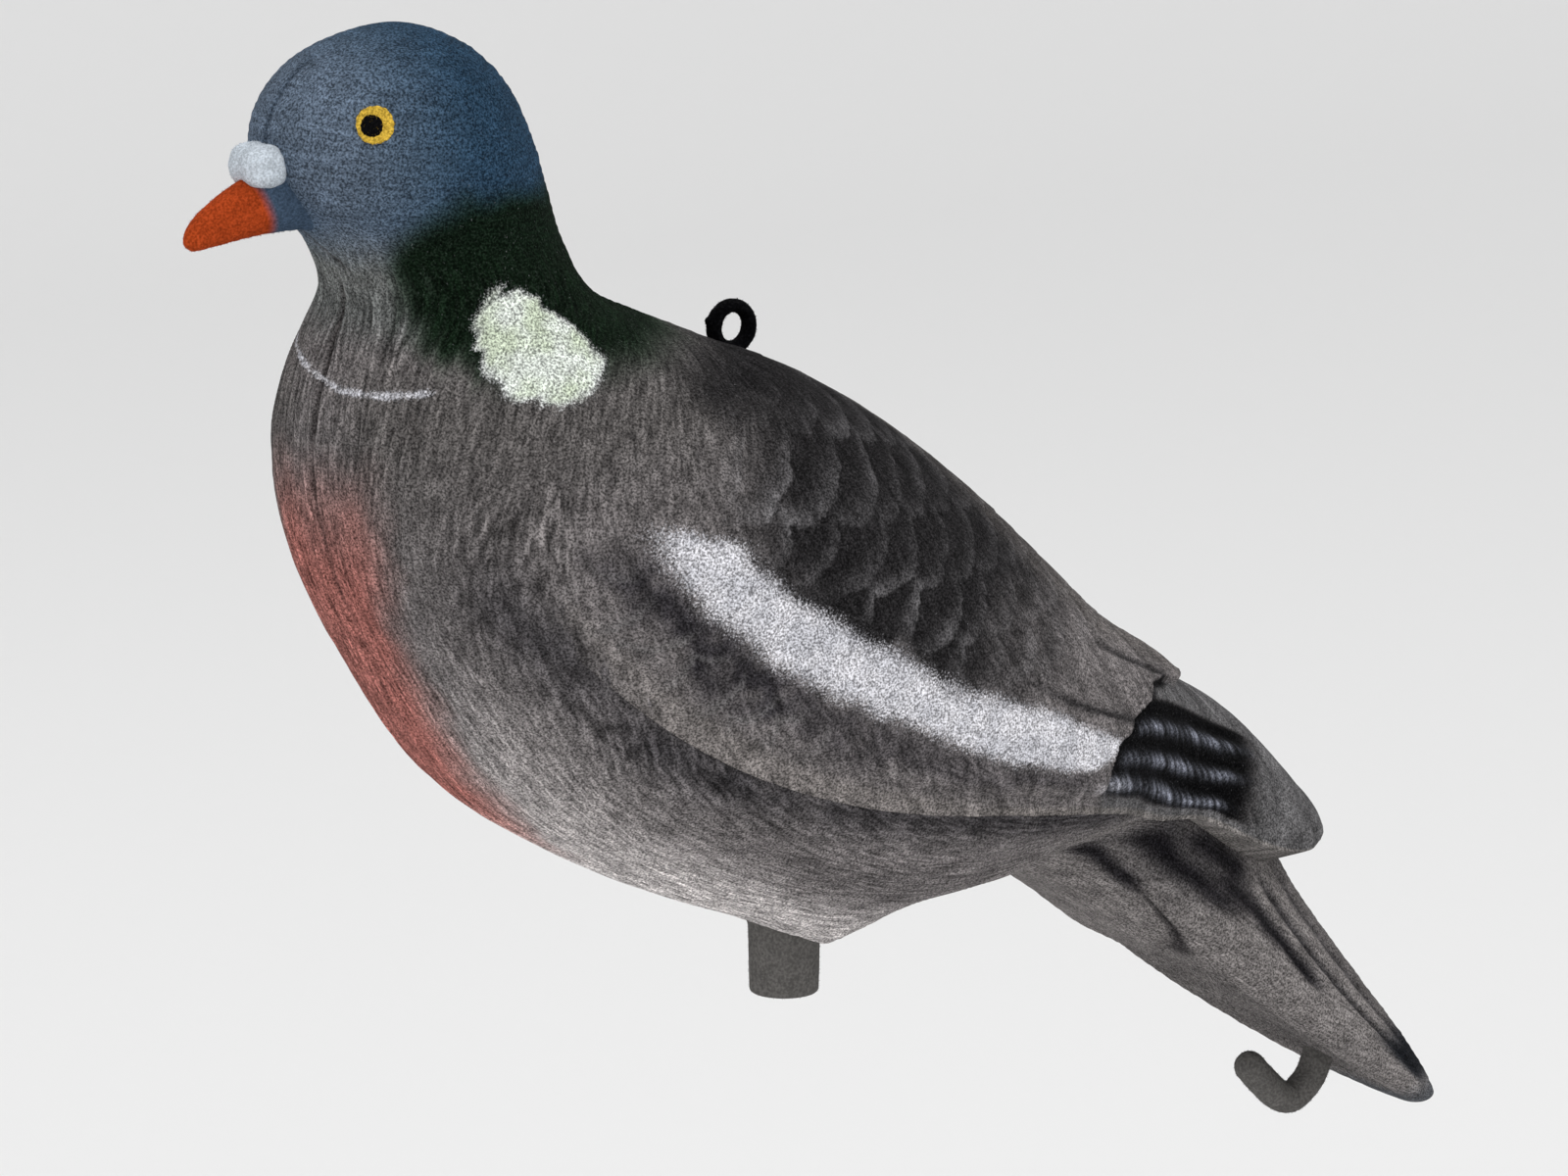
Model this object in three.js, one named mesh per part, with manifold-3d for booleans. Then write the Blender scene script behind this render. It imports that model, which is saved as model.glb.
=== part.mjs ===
// Wood pigeon decoy: a flocked plastic bird moulded in one piece, with a stake stub under the belly,
// a line ring on the back and a hook under the tail. Millimetres, +Z up, the head towards -X.
// The origin is at the middle of the stub's mouth, and the bird is symmetrical about the XZ plane.
import * as THREE from "three";
import { ParametricGeometry } from "three/addons/geometries/ParametricGeometry.js";
import { mergeVertices } from "three/addons/utils/BufferGeometryUtils.js";
import Module from "manifold-3d";

const wasm = await Module();
wasm.setup();

// Driving dimensions of the bird
const BIRD_LENGTH = 400; // beak tip to tail tip, in a straight line
const BODY_WIDTH = 120;
const HEAD_WIDTH = 51;
const WING_RELIEF = 4.2; // how far the folded wing stands off the flank at its middle
const TERTIAL_STEP = 2.2; // drop from the tertial feathers to the primaries
const PRIMARY_RIDGE = 0.7;
const TAIL_GROOVE = 0.8;
const COVERT_STEP = 1.4;
const TUFT_HEIGHT = 5.6;

// Driving dimensions of the fittings
const STUB_LENGTH = 18;
const STUB_DIAMETER = 15.8;
const STUB_TAPER = 0.4; // how much the mouth's radius is less than the root's
const STUB_ROUND = 0.8; // rounding of the mouth's outer edge
const SOCKET_DIAMETER = 10;
const SOCKET_DEPTH = 26;
const RING_OUTER = 11.9;
const RING_HOLE = 6;
const RING_THICKNESS = 4;
const HOOK_BAR = 7.2;
const HOOK_DROP = 9; // tail underside to the bar's middle at the bend
const HOOK_REACH = 19.5; // root to the middle of the free end

// Distances that sink one form into the next, so that they join
const WING_SINK = 2;
const FITTING_SINK = 1.4;
const STUB_SINK = 12;

// The free form is drawn for a bird of this length, above the point where the stub leaves the belly
const DRAWN_LENGTH = 400;
const DRAWN_RELIEF = 4.2;
const unit = BIRD_LENGTH / DRAWN_LENGTH;

// Body stations from crown to tail tip: the under line's x and z, the back line's x and z, the half
// width, how far the flanks droop, and the fullness of the section at the back and underneath.
const STATIONS = [
  [-97, 199.5, -97, 199.5, 0, 0, 1, 1], // crown
  [-113.5, 195, -82.8, 195.5, 0.275 * HEAD_WIDTH, 0, 1, 1], // brow
  [-123, 187.5, -73, 186.5, 0.43 * HEAD_WIDTH, 0, 1, 0.96], // forehead
  [-127, 177.5, -67, 174.5, 0.49 * HEAD_WIDTH, 0, 1, 0.94], // eye
  [-124, 166.5, -63.5, 163, 0.5 * HEAD_WIDTH, 0, 1, 0.94], // cheek
  [-114.5, 156, -60.2, 152.5, 0.5 * HEAD_WIDTH, 0, 1, 0.98], // chin
  [-109.2, 145, -54.4, 142.5, 0.242 * BODY_WIDTH, 0, 1, 0.92], // throat
  [-112, 135, -41.5, 136, 0.3 * BODY_WIDTH, 0, 0.97, 0.86], // neck
  [-115.5, 123.5, -26, 129.5, 0.367 * BODY_WIDTH, 0, 0.92, 0.86], // collar
  [-116.8, 109, -7, 120.5, 0.433 * BODY_WIDTH, 0, 0.88, 0.87], // shoulder
  [-112.8, 89, 13.5, 107.5, 0.483 * BODY_WIDTH, 0, 0.86, 0.87], // breast
  [-101.9, 66, 34, 91.5, 0.5 * BODY_WIDTH, 0, 0.86, 0.88], // keel
  [-82.5, 38, 53, 74, 0.496 * BODY_WIDTH, 0, 0.86, 0.9], // flank
  [-52, 17.5, 70.5, 58.5, 0.463 * BODY_WIDTH, 0, 0.88, 0.92], // belly
  [-18.5, 3.5, 88.5, 45.5, 0.396 * BODY_WIDTH, 0, 0.9, 0.95], // thigh
  [10, 2, 103.5, 32, 0.296 * BODY_WIDTH, 0, 0.95, 1.1], // vent
  [37, 8.6, 116.5, 18, 0.238 * BODY_WIDTH, 1, 1, 1.15], // rump
  [64, -0.6, 127.5, 2.5, 0.221 * BODY_WIDTH, 8, 1.05, 0.95], // tail root
  [91.5, -18.5, 139, -14.5, 0.208 * BODY_WIDTH, 10, 1.1, 0.86], // tail coverts
  [119, -36.8, 155.3, -34.7, 0.196 * BODY_WIDTH, 11.5, 1.1, 0.8], // middle of the tail
  [145.5, -54, 170.4, -53.2, 0.171 * BODY_WIDTH, 9, 1.05, 0.8], // lower tail
  [165.5, -66.8, 179.3, -65.6, 0.108 * BODY_WIDTH, 4, 1, 0.85], // tail end
  [178.2, -72.4, 182, -71.2, 0, 0, 1, 1], // tail tip
];
const TAIL_TIP = STATIONS.length - 1;
const HEAD_STATIONS = 9; // close together, so cut into fewer steps
const HEAD_STEPS = 2;
const BODY_STEPS = 3;
const BODY_SIDES = 44;

// Wing rows from the shoulder to the tip: the station and angle of the top line, the station and
// angle of the lower edge, and the height off the body at the top, the middle and the lower edge.
const WING_ROWS = [
  [7.7, 0, 8.2, 2.05, -1, -1.2, -1.5],
  [8.6, 0, 9.2, 2.3, 0.6, 1.4, -0.6],
  [9.5, 0, 10.2, 2.38, 1.4, 3.4, -0.2],
  [10.5, 0, 11.1, 2.27, 1.8, 4.2, 0.2],
  [11.5, 0, 11.9, 2.08, 2.4, 4.2, 1.2],
  [12.5, 0, 12.8, 1.84, 2.9, 4, 2.6],
  [13.4, 0, 13.6, 1.57, 2.5, 3.6, 3.4],
  [14.3, 0, 14.5, 1.37, 2.6, 4, 4],
  [15.2, 0, 15.5, 1.34, 7.4, 7, 5],
  [16, 0, 16.3, 1.22, 9.6, 9.3, 6.5],
  [16.7, 0.04, 16.95, 0.99, 11.8, 11.4, 8.8],
  [17.1, 0.18, 17.26, 0.79, 12.8, 12.6, 11],
  [17.3, 0.34, 17.33, 0.58, 12.4, 12.4, 11.8],
];
const WING_TIP = WING_ROWS.length - 1;
const WING_STEPS = 3;
const WING_COLUMNS = 14;
const WING_LAP = 0.02; // angle by which each wing passes the middle of the back

// Beak rows from the face to the tip: x, z, half height and half width
const BEAK_ROWS = [
  [-108, 166, 11, 9],
  [-117, 167.5, 8.6, 7.6],
  [-126, 166, 6.8, 6],
  [-134, 164, 5.6, 4.6],
  [-140.5, 161.6, 4.2, 3.3],
  [-144.4, 159.8, 2.6, 2.2],
  [-145.9, 159, 0, 0],
];
const BEAK_STEPS = 2;
const BEAK_SIDES = 12;
// The cere sits on the face at a station, standing forwards of it
const CERE = { at: 3.46, stand: 2.1, y: 2.2, halfLength: 5.4, halfWidth: 4.6, halfHeight: 4.9 };

// Carved forms of the body, as stations along it and angles from the back line
const TUFT = { station: 14.55, length: 0.4, angle: 2.8, width: 0.27 };
const COVERTS = {
  from: 13.5,
  full: 15.5,
  end: 18.1,
  fall: 0.7,
  slant: 2.6,
  corner: 2.75,
  spread: 1.2,
  side: 1.45,
  sideFull: 1.75,
};
const TAIL_FEATHERS = { lines: [0.62, 0.95, 1.28], width: 0.1, from: 16.5, full: 17.5, fade: 20, end: 21.5 };

// The rear edge of the tertials as a wing row, with its slant at the top and its scalloped feather ends
const TERTIAL_EDGE = { row: 6.2, slant: 1.1, slantEnds: 0.45, scallop: 0.18, scallopFrom: 0.12, scallops: 11 };
const PRIMARIES = {
  middle: 0.5,
  pitch: 0.14,
  turn: 0.05,
  turnAt: 7,
  fade: 9,
  end: 10.5,
  from: 0.42,
  full: 0.5,
  level: 0.6,
};

// Where the fittings sit on the body, as stations
const RING_AT = 8.57;
const HOOK_AT = 20.15;

const smooth = (from, to, x) => THREE.MathUtils.smoothstep(x, from, to);
const bump = (x, middle, width) => Math.exp(-(((x - middle) / width) ** 2));

// Three ways to carry a table of rows on past its end: straight on, or over a rounded end.
const straightOn = (end, inner) => end.map((v, k) => 2 * v - inner[k]);
const overBodyEnd = (_, [underX, underZ, backX, backZ, half, ...rest]) => {
  return [backX, backZ, underX, underZ, -half, ...rest];
};
const overBeakEnd = (_, [x, z, halfHeight, halfWidth]) => [x, z, -halfHeight, -halfWidth];

// One row of numbers between the given rows, on a Catmull-Rom spline through them.
function rowAt(rows, u, beyond = straightOn) {
  const last = rows.length - 1;
  const i = THREE.MathUtils.clamp(Math.floor(u), 0, last - 1);
  const f = u - i;
  const before = rows[i - 1] ?? beyond(rows[0], rows[1]);
  const after = rows[i + 2] ?? beyond(rows[last], rows[last - 1]);
  return rows[i].map((p1, k) => {
    const [p0, p2, p3] = [before[k], rows[i + 1][k], after[k]];
    const a = p2 - p0;
    const b = 2 * p0 - 5 * p1 + 4 * p2 - p3;
    const c = 3 * p1 - p0 - 3 * p2 + p3;
    return 0.5 * (2 * p1 + f * (a + f * (b + f * c)));
  });
}

// A point of the smooth body: angle 0 is the back line, PI the under line, and 0 to PI the left side.
function skin(station, angle) {
  const [underX, underZ, backX, backZ, half, droop, crest, keel] = rowAt(STATIONS, station, overBodyEnd);
  const towardsKeel = (1 - Math.cos(angle)) / 2;
  const fullness = THREE.MathUtils.lerp(crest, keel, towardsKeel);
  const side = Math.sign(Math.sin(angle)) * Math.abs(Math.sin(angle)) ** fullness;
  const halfX = (backX - underX) / 2;
  const halfZ = (backZ - underZ) / 2;
  const depth = Math.max(Math.hypot(halfX, halfZ), 1e-6);
  const up = Math.cos(angle) - (droop / depth) * side * side;
  const x = (underX + backX) / 2 + halfX * up;
  const z = (underZ + backZ) / 2 + halfZ * up;
  return new THREE.Vector3(x * unit, -half * side, z * unit + STUB_LENGTH);
}

function normalAt(station, angle) {
  const step = 1e-3;
  const alongU = skin(station + step, angle).sub(skin(station - step, angle));
  const aroundA = skin(station, angle + step).sub(skin(station, angle - step));
  return aroundA.cross(alongU).normalize();
}

// Height of the carved forms of the body: thigh tufts, under tail coverts and tail feathers.
function bodyRelief(station, angle) {
  const fromBack = Math.acos(Math.cos(angle));
  const tuft = bump(station, TUFT.station, TUFT.length) * bump(fromBack, TUFT.angle, TUFT.width);
  const rounded = Math.max(0, COVERTS.corner - fromBack) / COVERTS.spread;
  const covertEdge = COVERTS.end - COVERTS.slant * rounded ** 2;
  const ended = smooth(covertEdge, covertEdge + COVERTS.fall, station);
  const coverts = smooth(COVERTS.from, COVERTS.full, station) * (1 - ended);
  const covertSide = smooth(COVERTS.side, COVERTS.sideFull, fromBack);
  const { lines, width, from, full, fade, end } = TAIL_FEATHERS;
  const feathers = lines.reduce((sum, line) => sum + bump(fromBack, line, width), 0);
  const tail = smooth(from, full, station) * (1 - smooth(fade, end, station));
  return TUFT_HEIGHT * tuft + COVERT_STEP * coverts * covertSide - TAIL_GROOVE * feathers * tail;
}

// The wing row at which the tertials end, for a share r from the top line to the lower edge.
function tertialEdge(r) {
  const { row, slant, slantEnds, scallop, scallopFrom, scallops } = TERTIAL_EDGE;
  const featherEnds = scallop * Math.abs(Math.sin((r - scallopFrom) * scallops));
  return row + slant * (1 - smooth(0, slantEnds, r)) + featherEnds;
}

// The height of the wing off the body at row s and share r from the top line to the lower edge.
function wingHeight(s, r) {
  const [, , , , top, middle, edge] = rowAt(WING_ROWS, s);
  const upper = THREE.MathUtils.lerp(top, middle, smooth(0, 0.55, r));
  const shell = THREE.MathUtils.lerp(upper, edge, smooth(0.6, 1, r));
  const stepAt = tertialEdge(r);
  const tertials = smooth(stepAt - 2.5, stepAt, s) * (1 - smooth(stepAt, stepAt + 0.2, s));
  const { middle: at, pitch, turn, turnAt, fade, end, from, full, level } = PRIMARIES;
  const across = (r + turn * (s - turnAt) - at) / pitch;
  const inPrimaries = smooth(stepAt, stepAt + 0.5, s) * (1 - smooth(fade, end, s)) * smooth(from, full, r);
  const ridges = PRIMARY_RIDGE * (Math.abs(Math.sin(Math.PI * across)) - level);
  return (shell * WING_RELIEF) / DRAWN_RELIEF + TERTIAL_STEP * tertials + ridges * inPrimaries;
}

function wingPoint(s, r, height) {
  const [topStation, topAngle, edgeStation, edgeAngle] = rowAt(WING_ROWS, s);
  const station = THREE.MathUtils.lerp(topStation, edgeStation, r);
  const angle = THREE.MathUtils.lerp(topAngle - WING_LAP, edgeAngle, r);
  return skin(station, angle).addScaledVector(normalAt(station, angle), height);
}

// Closes a geometry into a solid: merges its shared vertices and leaves out collapsed triangles.
function solid(geometry) {
  geometry.deleteAttribute("normal");
  geometry.deleteAttribute("uv");
  const merged = mergeVertices(geometry, 1e-3);
  const index = merged.index.array;
  const triVerts = [];
  for (let i = 0; i < index.length; i += 3) {
    const [a, b, c] = index.slice(i, i + 3);
    if (a !== b && b !== c && c !== a) triVerts.push(a, b, c);
  }
  const made = new wasm.Manifold(
    new wasm.Mesh({
      numProp: 3,
      vertProperties: merged.attributes.position.array,
      triVerts: new Uint32Array(triVerts),
    }),
  );
  if (made.volume() < 0) throw new Error("a form is inside out");
  return made;
}

// A closed form from rings: point(ring, side) fills a Vector3 for whole ring and side numbers.
function ringForm(rings, sides, point) {
  const shape = (v, w, target) => target.copy(point(Math.round(w * rings), Math.round(v * sides) % sides));
  return solid(new ParametricGeometry(shape, sides, rings));
}

function bodyForm() {
  const headRings = HEAD_STATIONS * HEAD_STEPS;
  const rings = headRings + (TAIL_TIP - HEAD_STATIONS) * BODY_STEPS;
  return ringForm(rings, BODY_SIDES, (ring, side) => {
    const behind = Math.max(0, ring - headRings);
    const station = Math.min(ring, headRings) / HEAD_STEPS + behind / BODY_STEPS;
    const angle = (side / BODY_SIDES) * 2 * Math.PI;
    if (ring === 0 || ring === rings) return skin(station, 0).add(skin(station, Math.PI)).multiplyScalar(0.5);
    const lift = bodyRelief(station, angle);
    return skin(station, angle).addScaledVector(normalAt(station, angle), lift);
  });
}

// The left wing: an outer shell and a lining sunk into the body, closed at the shoulder and tip.
function wingForm() {
  const rings = WING_TIP * WING_STEPS;
  const sides = 2 * (WING_COLUMNS + 1);
  return ringForm(rings + 2, sides, (ring, side) => {
    const s = THREE.MathUtils.clamp(ring - 1, 0, rings) / WING_STEPS;
    const outer = side <= WING_COLUMNS;
    const r = (outer ? side : sides - 1 - side) / WING_COLUMNS;
    const closing = ring === 0 || ring === rings + 2;
    const closed = (wingHeight(s, r) - WING_SINK) / 2;
    const height = outer ? wingHeight(s, r) : -WING_SINK;
    return wingPoint(s, r, closing ? closed : height);
  });
}

function beakForm() {
  const rings = (BEAK_ROWS.length - 1) * BEAK_STEPS;
  return ringForm(rings + 1, BEAK_SIDES, (ring, side) => {
    const row = Math.max(0, ring - 1) / BEAK_STEPS;
    const [x, z, halfHeight, halfWidth] = rowAt(BEAK_ROWS, row, overBeakEnd);
    const angle = (side / BEAK_SIDES) * 2 * Math.PI;
    const open = ring === 0 || ring === rings + 1 ? 0 : 1;
    const y = halfWidth * Math.sin(angle) * open;
    const up = halfHeight * Math.cos(angle) * open;
    return new THREE.Vector3(x * unit, y * unit, (z + up) * unit + STUB_LENGTH);
  });
}

// The swollen white skin at the beak's root: two lobes side by side.
function cereForm() {
  const seat = skin(CERE.at, Math.PI).addScaledVector(normalAt(CERE.at, Math.PI), CERE.stand * unit);
  const lobes = [-1, 1].map((side) => {
    const lobe = new THREE.SphereGeometry(1, 14, 8);
    lobe.scale(CERE.halfLength * unit, CERE.halfWidth * unit, CERE.halfHeight * unit);
    lobe.translate(seat.x, side * CERE.y * unit, seat.z);
    return solid(lobe);
  });
  return lobes[0].add(lobes[1]);
}

function stubForm() {
  const mouth = STUB_DIAMETER / 2 - STUB_TAPER;
  const profile = new THREE.Path();
  profile.moveTo(0, 0);
  profile.lineTo(mouth - STUB_ROUND, 0);
  profile.absarc(mouth - STUB_ROUND, STUB_ROUND, STUB_ROUND, -Math.PI / 2, 0);
  profile.lineTo(STUB_DIAMETER / 2, STUB_LENGTH + STUB_SINK);
  profile.lineTo(0, STUB_LENGTH + STUB_SINK);
  const stub = new THREE.LatheGeometry(profile.getPoints(2), 28);
  return solid(stub.rotateX(Math.PI / 2));
}

function socketForm() {
  const overrun = 1;
  const radius = SOCKET_DIAMETER / 2;
  const socket = new THREE.CylinderGeometry(radius, radius, SOCKET_DEPTH + overrun, 28);
  return solid(socket.rotateX(Math.PI / 2).translate(0, 0, (SOCKET_DEPTH - overrun) / 2));
}

// The ring for a line, in the bird's plane of symmetry, on a small foot.
function lineRingForm() {
  const seat = skin(RING_AT, 0);
  const out = normalAt(RING_AT, 0);
  const bar = (RING_OUTER - RING_HOLE) / 2;
  const middle = seat.clone().addScaledVector(out, RING_OUTER / 2 - FITTING_SINK);
  const ring = new THREE.TorusGeometry((RING_OUTER - bar) / 2, bar / 2, 8, 20);
  ring.rotateX(Math.PI / 2).scale(1, RING_THICKNESS / bar, 1).translate(middle.x, 0, middle.z);
  const foot = new THREE.SphereGeometry(1, 12, 6);
  foot.scale(RING_OUTER * 0.42, RING_THICKNESS * 0.7, FITTING_SINK);
  foot.rotateY(Math.atan2(out.x, out.z)).translate(seat.x, 0, seat.z);
  return solid(ring).add(solid(foot));
}

// The round bar of the hook: down from the tail's underside, then forwards and up to a round end.
function hookForm() {
  const seat = skin(HOOK_AT, Math.PI);
  const route = [
    [0.1, 0.5],
    [0, -0.15],
    [-0.12, -0.62],
    [-0.36, -1],
    [-0.58, -0.88],
    [-0.8, -0.45],
    [-1, 0],
  ].map(([reach, rise]) => new THREE.Vector3(seat.x + reach * HOOK_REACH, 0, seat.z + rise * HOOK_DROP));
  const path = new THREE.CatmullRomCurve3(route);
  const section = new THREE.Shape().absarc(0, 0, HOOK_BAR / 2, 0, 2 * Math.PI);
  const bar = new THREE.ExtrudeGeometry(section, { steps: 14, curveSegments: 6, extrudePath: path });
  const end = new THREE.SphereGeometry(HOOK_BAR / 2, 12, 6).translate(...route.at(-1).toArray());
  return solid(bar).add(solid(end));
}

// The right wing is the left one mirrored, with its triangles turned round again.
function mirrored(form) {
  return form.mirror([0, 1, 0]);
}

function decoyGeometry() {
  const wing = wingForm();
  const whole = [wing, mirrored(wing), beakForm(), cereForm(), stubForm(), lineRingForm(), hookForm()]
    .reduce((sum, form) => sum.add(form), bodyForm())
    .subtract(socketForm());
  const mesh = whole.getMesh();
  const geometry = new THREE.BufferGeometry();
  geometry.setAttribute("position", new THREE.BufferAttribute(mesh.vertProperties, mesh.numProp));
  geometry.setIndex(new THREE.BufferAttribute(mesh.triVerts, 1));
  geometry.computeVertexNormals();
  return geometry;
}

const flock = new THREE.MeshStandardMaterial({ color: 0x66605c, roughness: 0.95, metalness: 0 });
const decoy = new THREE.Mesh(decoyGeometry(), flock);
decoy.name = "pigeon_decoy";

const root = new THREE.Group();
root.add(decoy);

export default root;
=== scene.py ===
"""Wood pigeon decoy, flocked and airbrushed: the dressed model over its CAD solid.

The bird is one smooth loft through named stations, with folded wings laid over it. Millimetres in the
shape functions, metres in the meshes. Head towards -X, +Z up, the bird's left side towards -Y.
"""

import math

import bpy
import numpy as np
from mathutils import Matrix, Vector


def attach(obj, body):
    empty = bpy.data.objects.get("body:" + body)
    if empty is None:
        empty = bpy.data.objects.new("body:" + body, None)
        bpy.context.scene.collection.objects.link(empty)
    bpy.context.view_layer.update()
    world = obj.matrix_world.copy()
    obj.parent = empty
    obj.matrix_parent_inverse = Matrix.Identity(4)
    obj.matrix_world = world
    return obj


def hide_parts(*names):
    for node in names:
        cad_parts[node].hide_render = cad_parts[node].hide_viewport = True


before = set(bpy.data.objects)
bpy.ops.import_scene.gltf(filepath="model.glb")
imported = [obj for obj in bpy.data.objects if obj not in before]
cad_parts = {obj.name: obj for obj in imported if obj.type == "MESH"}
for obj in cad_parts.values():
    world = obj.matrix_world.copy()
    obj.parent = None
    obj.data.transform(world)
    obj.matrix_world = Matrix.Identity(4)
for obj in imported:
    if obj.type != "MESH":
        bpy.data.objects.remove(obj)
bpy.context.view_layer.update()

bl_info = {
    "name": "Pigeon Decoy",
    "version": (1, 0, 0),
    "blender": (4, 5, 0),
    "location": "View3D > Sidebar > Decoy",
    "description": "Builds a flocked wood pigeon decoy over its CAD solid",
    "category": "Object",
}

NODE = "pigeon_decoy"
MM = 0.001

# Body stations from crown to tail tip: the under line's x and z, the back line's x and z, the half
# width, how far the flanks droop, and the fullness of the section at the back and underneath.
BODY_WIDTH = 120.0
HEAD_WIDTH = 51.0
STUB_LENGTH = 18.0
STATIONS = np.array([
    [-97, 199.5, -97, 199.5, 0, 0, 1, 1],
    [-113.5, 195, -82.8, 195.5, 0.275 * HEAD_WIDTH, 0, 1, 1],
    [-123, 187.5, -73, 186.5, 0.43 * HEAD_WIDTH, 0, 1, 0.96],
    [-127, 177.5, -67, 174.5, 0.49 * HEAD_WIDTH, 0, 1, 0.94],
    [-124, 166.5, -63.5, 163, 0.5 * HEAD_WIDTH, 0, 1, 0.94],
    [-114.5, 156, -60.2, 152.5, 0.5 * HEAD_WIDTH, 0, 1, 0.98],
    [-109.2, 145, -54.4, 142.5, 0.242 * BODY_WIDTH, 0, 1, 0.92],
    [-112, 135, -41.5, 136, 0.3 * BODY_WIDTH, 0, 0.97, 0.86],
    [-115.5, 123.5, -26, 129.5, 0.367 * BODY_WIDTH, 0, 0.92, 0.86],
    [-116.8, 109, -7, 120.5, 0.433 * BODY_WIDTH, 0, 0.88, 0.87],
    [-112.8, 89, 13.5, 107.5, 0.483 * BODY_WIDTH, 0, 0.86, 0.87],
    [-101.9, 66, 34, 91.5, 0.5 * BODY_WIDTH, 0, 0.86, 0.88],
    [-82.5, 38, 53, 74, 0.496 * BODY_WIDTH, 0, 0.86, 0.9],
    [-52, 17.5, 70.5, 58.5, 0.463 * BODY_WIDTH, 0, 0.88, 0.92],
    [-18.5, 3.5, 88.5, 45.5, 0.396 * BODY_WIDTH, 0, 0.9, 0.95],
    [10, 2, 103.5, 32, 0.296 * BODY_WIDTH, 0, 0.95, 1.1],
    [37, 8.6, 116.5, 18, 0.238 * BODY_WIDTH, 1, 1, 1.15],
    [64, -0.6, 127.5, 2.5, 0.221 * BODY_WIDTH, 8, 1.05, 0.95],
    [91.5, -18.5, 139, -14.5, 0.208 * BODY_WIDTH, 10, 1.1, 0.86],
    [119, -36.8, 155.3, -34.7, 0.196 * BODY_WIDTH, 11.5, 1.1, 0.8],
    [145.5, -54, 170.4, -53.2, 0.171 * BODY_WIDTH, 9, 1.05, 0.8],
    [165.5, -66.8, 179.3, -65.6, 0.108 * BODY_WIDTH, 4, 1, 0.85],
    [178.2, -72.4, 182, -71.2, 0, 0, 1, 1],
])

# Wing rows from the shoulder to the tip: the station and angle of the top line, the station and
# angle of the lower edge, and the height off the body at the top, the middle and the lower edge.
WING_ROWS = np.array([
    [7.7, 0, 8.2, 2.05, -1, -1.2, -1.5],
    [8.6, 0, 9.2, 2.3, 0.6, 1.4, -0.6],
    [9.5, 0, 10.2, 2.38, 1.4, 3.4, -0.2],
    [10.5, 0, 11.1, 2.27, 1.8, 4.2, 0.2],
    [11.5, 0, 11.9, 2.08, 2.4, 4.2, 1.2],
    [12.5, 0, 12.8, 1.84, 2.9, 4, 2.6],
    [13.4, 0, 13.6, 1.57, 2.5, 3.6, 3.4],
    [14.3, 0, 14.5, 1.37, 2.6, 4, 4],
    [15.2, 0, 15.5, 1.34, 7.4, 7, 5],
    [16, 0, 16.3, 1.22, 9.6, 9.3, 6.5],
    [16.7, 0.04, 16.95, 0.99, 11.8, 11.4, 8.8],
    [17.1, 0.18, 17.26, 0.79, 12.8, 12.6, 11],
    [17.3, 0.34, 17.33, 0.58, 12.4, 12.4, 11.8],
])

# Beak rows from its root to its tip: x, z, half height and half width.
BEAK_ROWS = np.array([
    [-108, 166, 11, 9],
    [-117, 167.5, 8.6, 7.6],
    [-126, 166, 6.8, 6],
    [-134, 164, 5.6, 4.6],
    [-140.5, 161.6, 4.2, 3.3],
    [-144.4, 159.8, 2.6, 2.2],
    [-145.9, 159, 0, 0],
])

# Stations where the pieces begin and end, and where the eyes and fittings sit.
HEAD_ENDS_AT = 8.0
BODY_ENDS_AT = 18.9
TAIL_STARTS_AT = 15.2
TAIL_ENDS_AT = 22.0
OVERLAP = 0.3
EYE_AT, EYE_ANGLE = 2.49, 2.16
CERE_AT = 3.46
RING_AT = 8.57
HOOK_AT = 20.15

# How far an open end dips and how deep it is sunk under the next part, and how deep the wing's lining lies.
DIP, SUNK, LINING = 0.12, 1.5, 2.0

# Each line below is given as places along it and its heights there. The first is the rear edge of the
# under tail coverts, as a station for each angle.
COVERT_EDGE = ((1.5, 1.9, 2.0, 2.03, 2.08, 2.2, 2.42, 2.97, 3.15),
               (16.4, 16.4, 16.9, 17.25, 17.6, 17.83, 17.95, 18.19, 18.3))

# The white bar's edges, the paler band along the wing's crown and the black of the primaries.
BAR_TOP = ((1.45, 1.75, 2.1, 2.65, 3.4, 3.95, 4.4, 4.75, 5.2, 6.0),
           (0.8, 0.745, 0.703, 0.708, 0.688, 0.675, 0.662, 0.65, 0.655, 0.705))
BAR_LOW = ((1.45, 1.8, 2.45, 2.9, 3.35, 4.0, 4.4, 4.9, 5.8, 6.1),
           (0.82, 0.795, 0.804, 0.802, 0.806, 0.794, 0.782, 0.79, 0.828, 0.8))
CROWN_LINE = ((0.5, 2, 3.66, 5), (0.08, 0.2, 0.34, 0.38))
BLACK_TOP = ((6.0, 8.1, 8.8), (0.52, 0.395, 0.37))
BLACK_END = ((0.36, 0.69, 0.86, 1), (8.35, 8.68, 9.12, 9.3))

# The step where the tertial feathers end over the primaries, as a row for each place across the wing.
STEP_LINE = ((0, 0.38, 0.403, 0.46, 0.53, 0.61, 0.66, 0.71, 0.78, 0.844, 0.92, 1),
             (7.6, 6.6, 6.32, 6.07, 6.12, 5.98, 6.06, 6.01, 6.12, 6.25, 6.4, 6.6))

# Light streaks along the primaries, and the lower edges of two tertial feathers, with painted shadow just
# under them.
STREAKS = (((6.2, 8.4), (0.635, 0.5)), ((6.3, 8.7), (0.762, 0.68)), ((6.5, 9.1), (0.86, 0.878)))
TERTIAL_EDGES = (((4.7, 6.3), (0.391, 0.403)), ((4.4, 5.97), (0.575, 0.612)))

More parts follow.
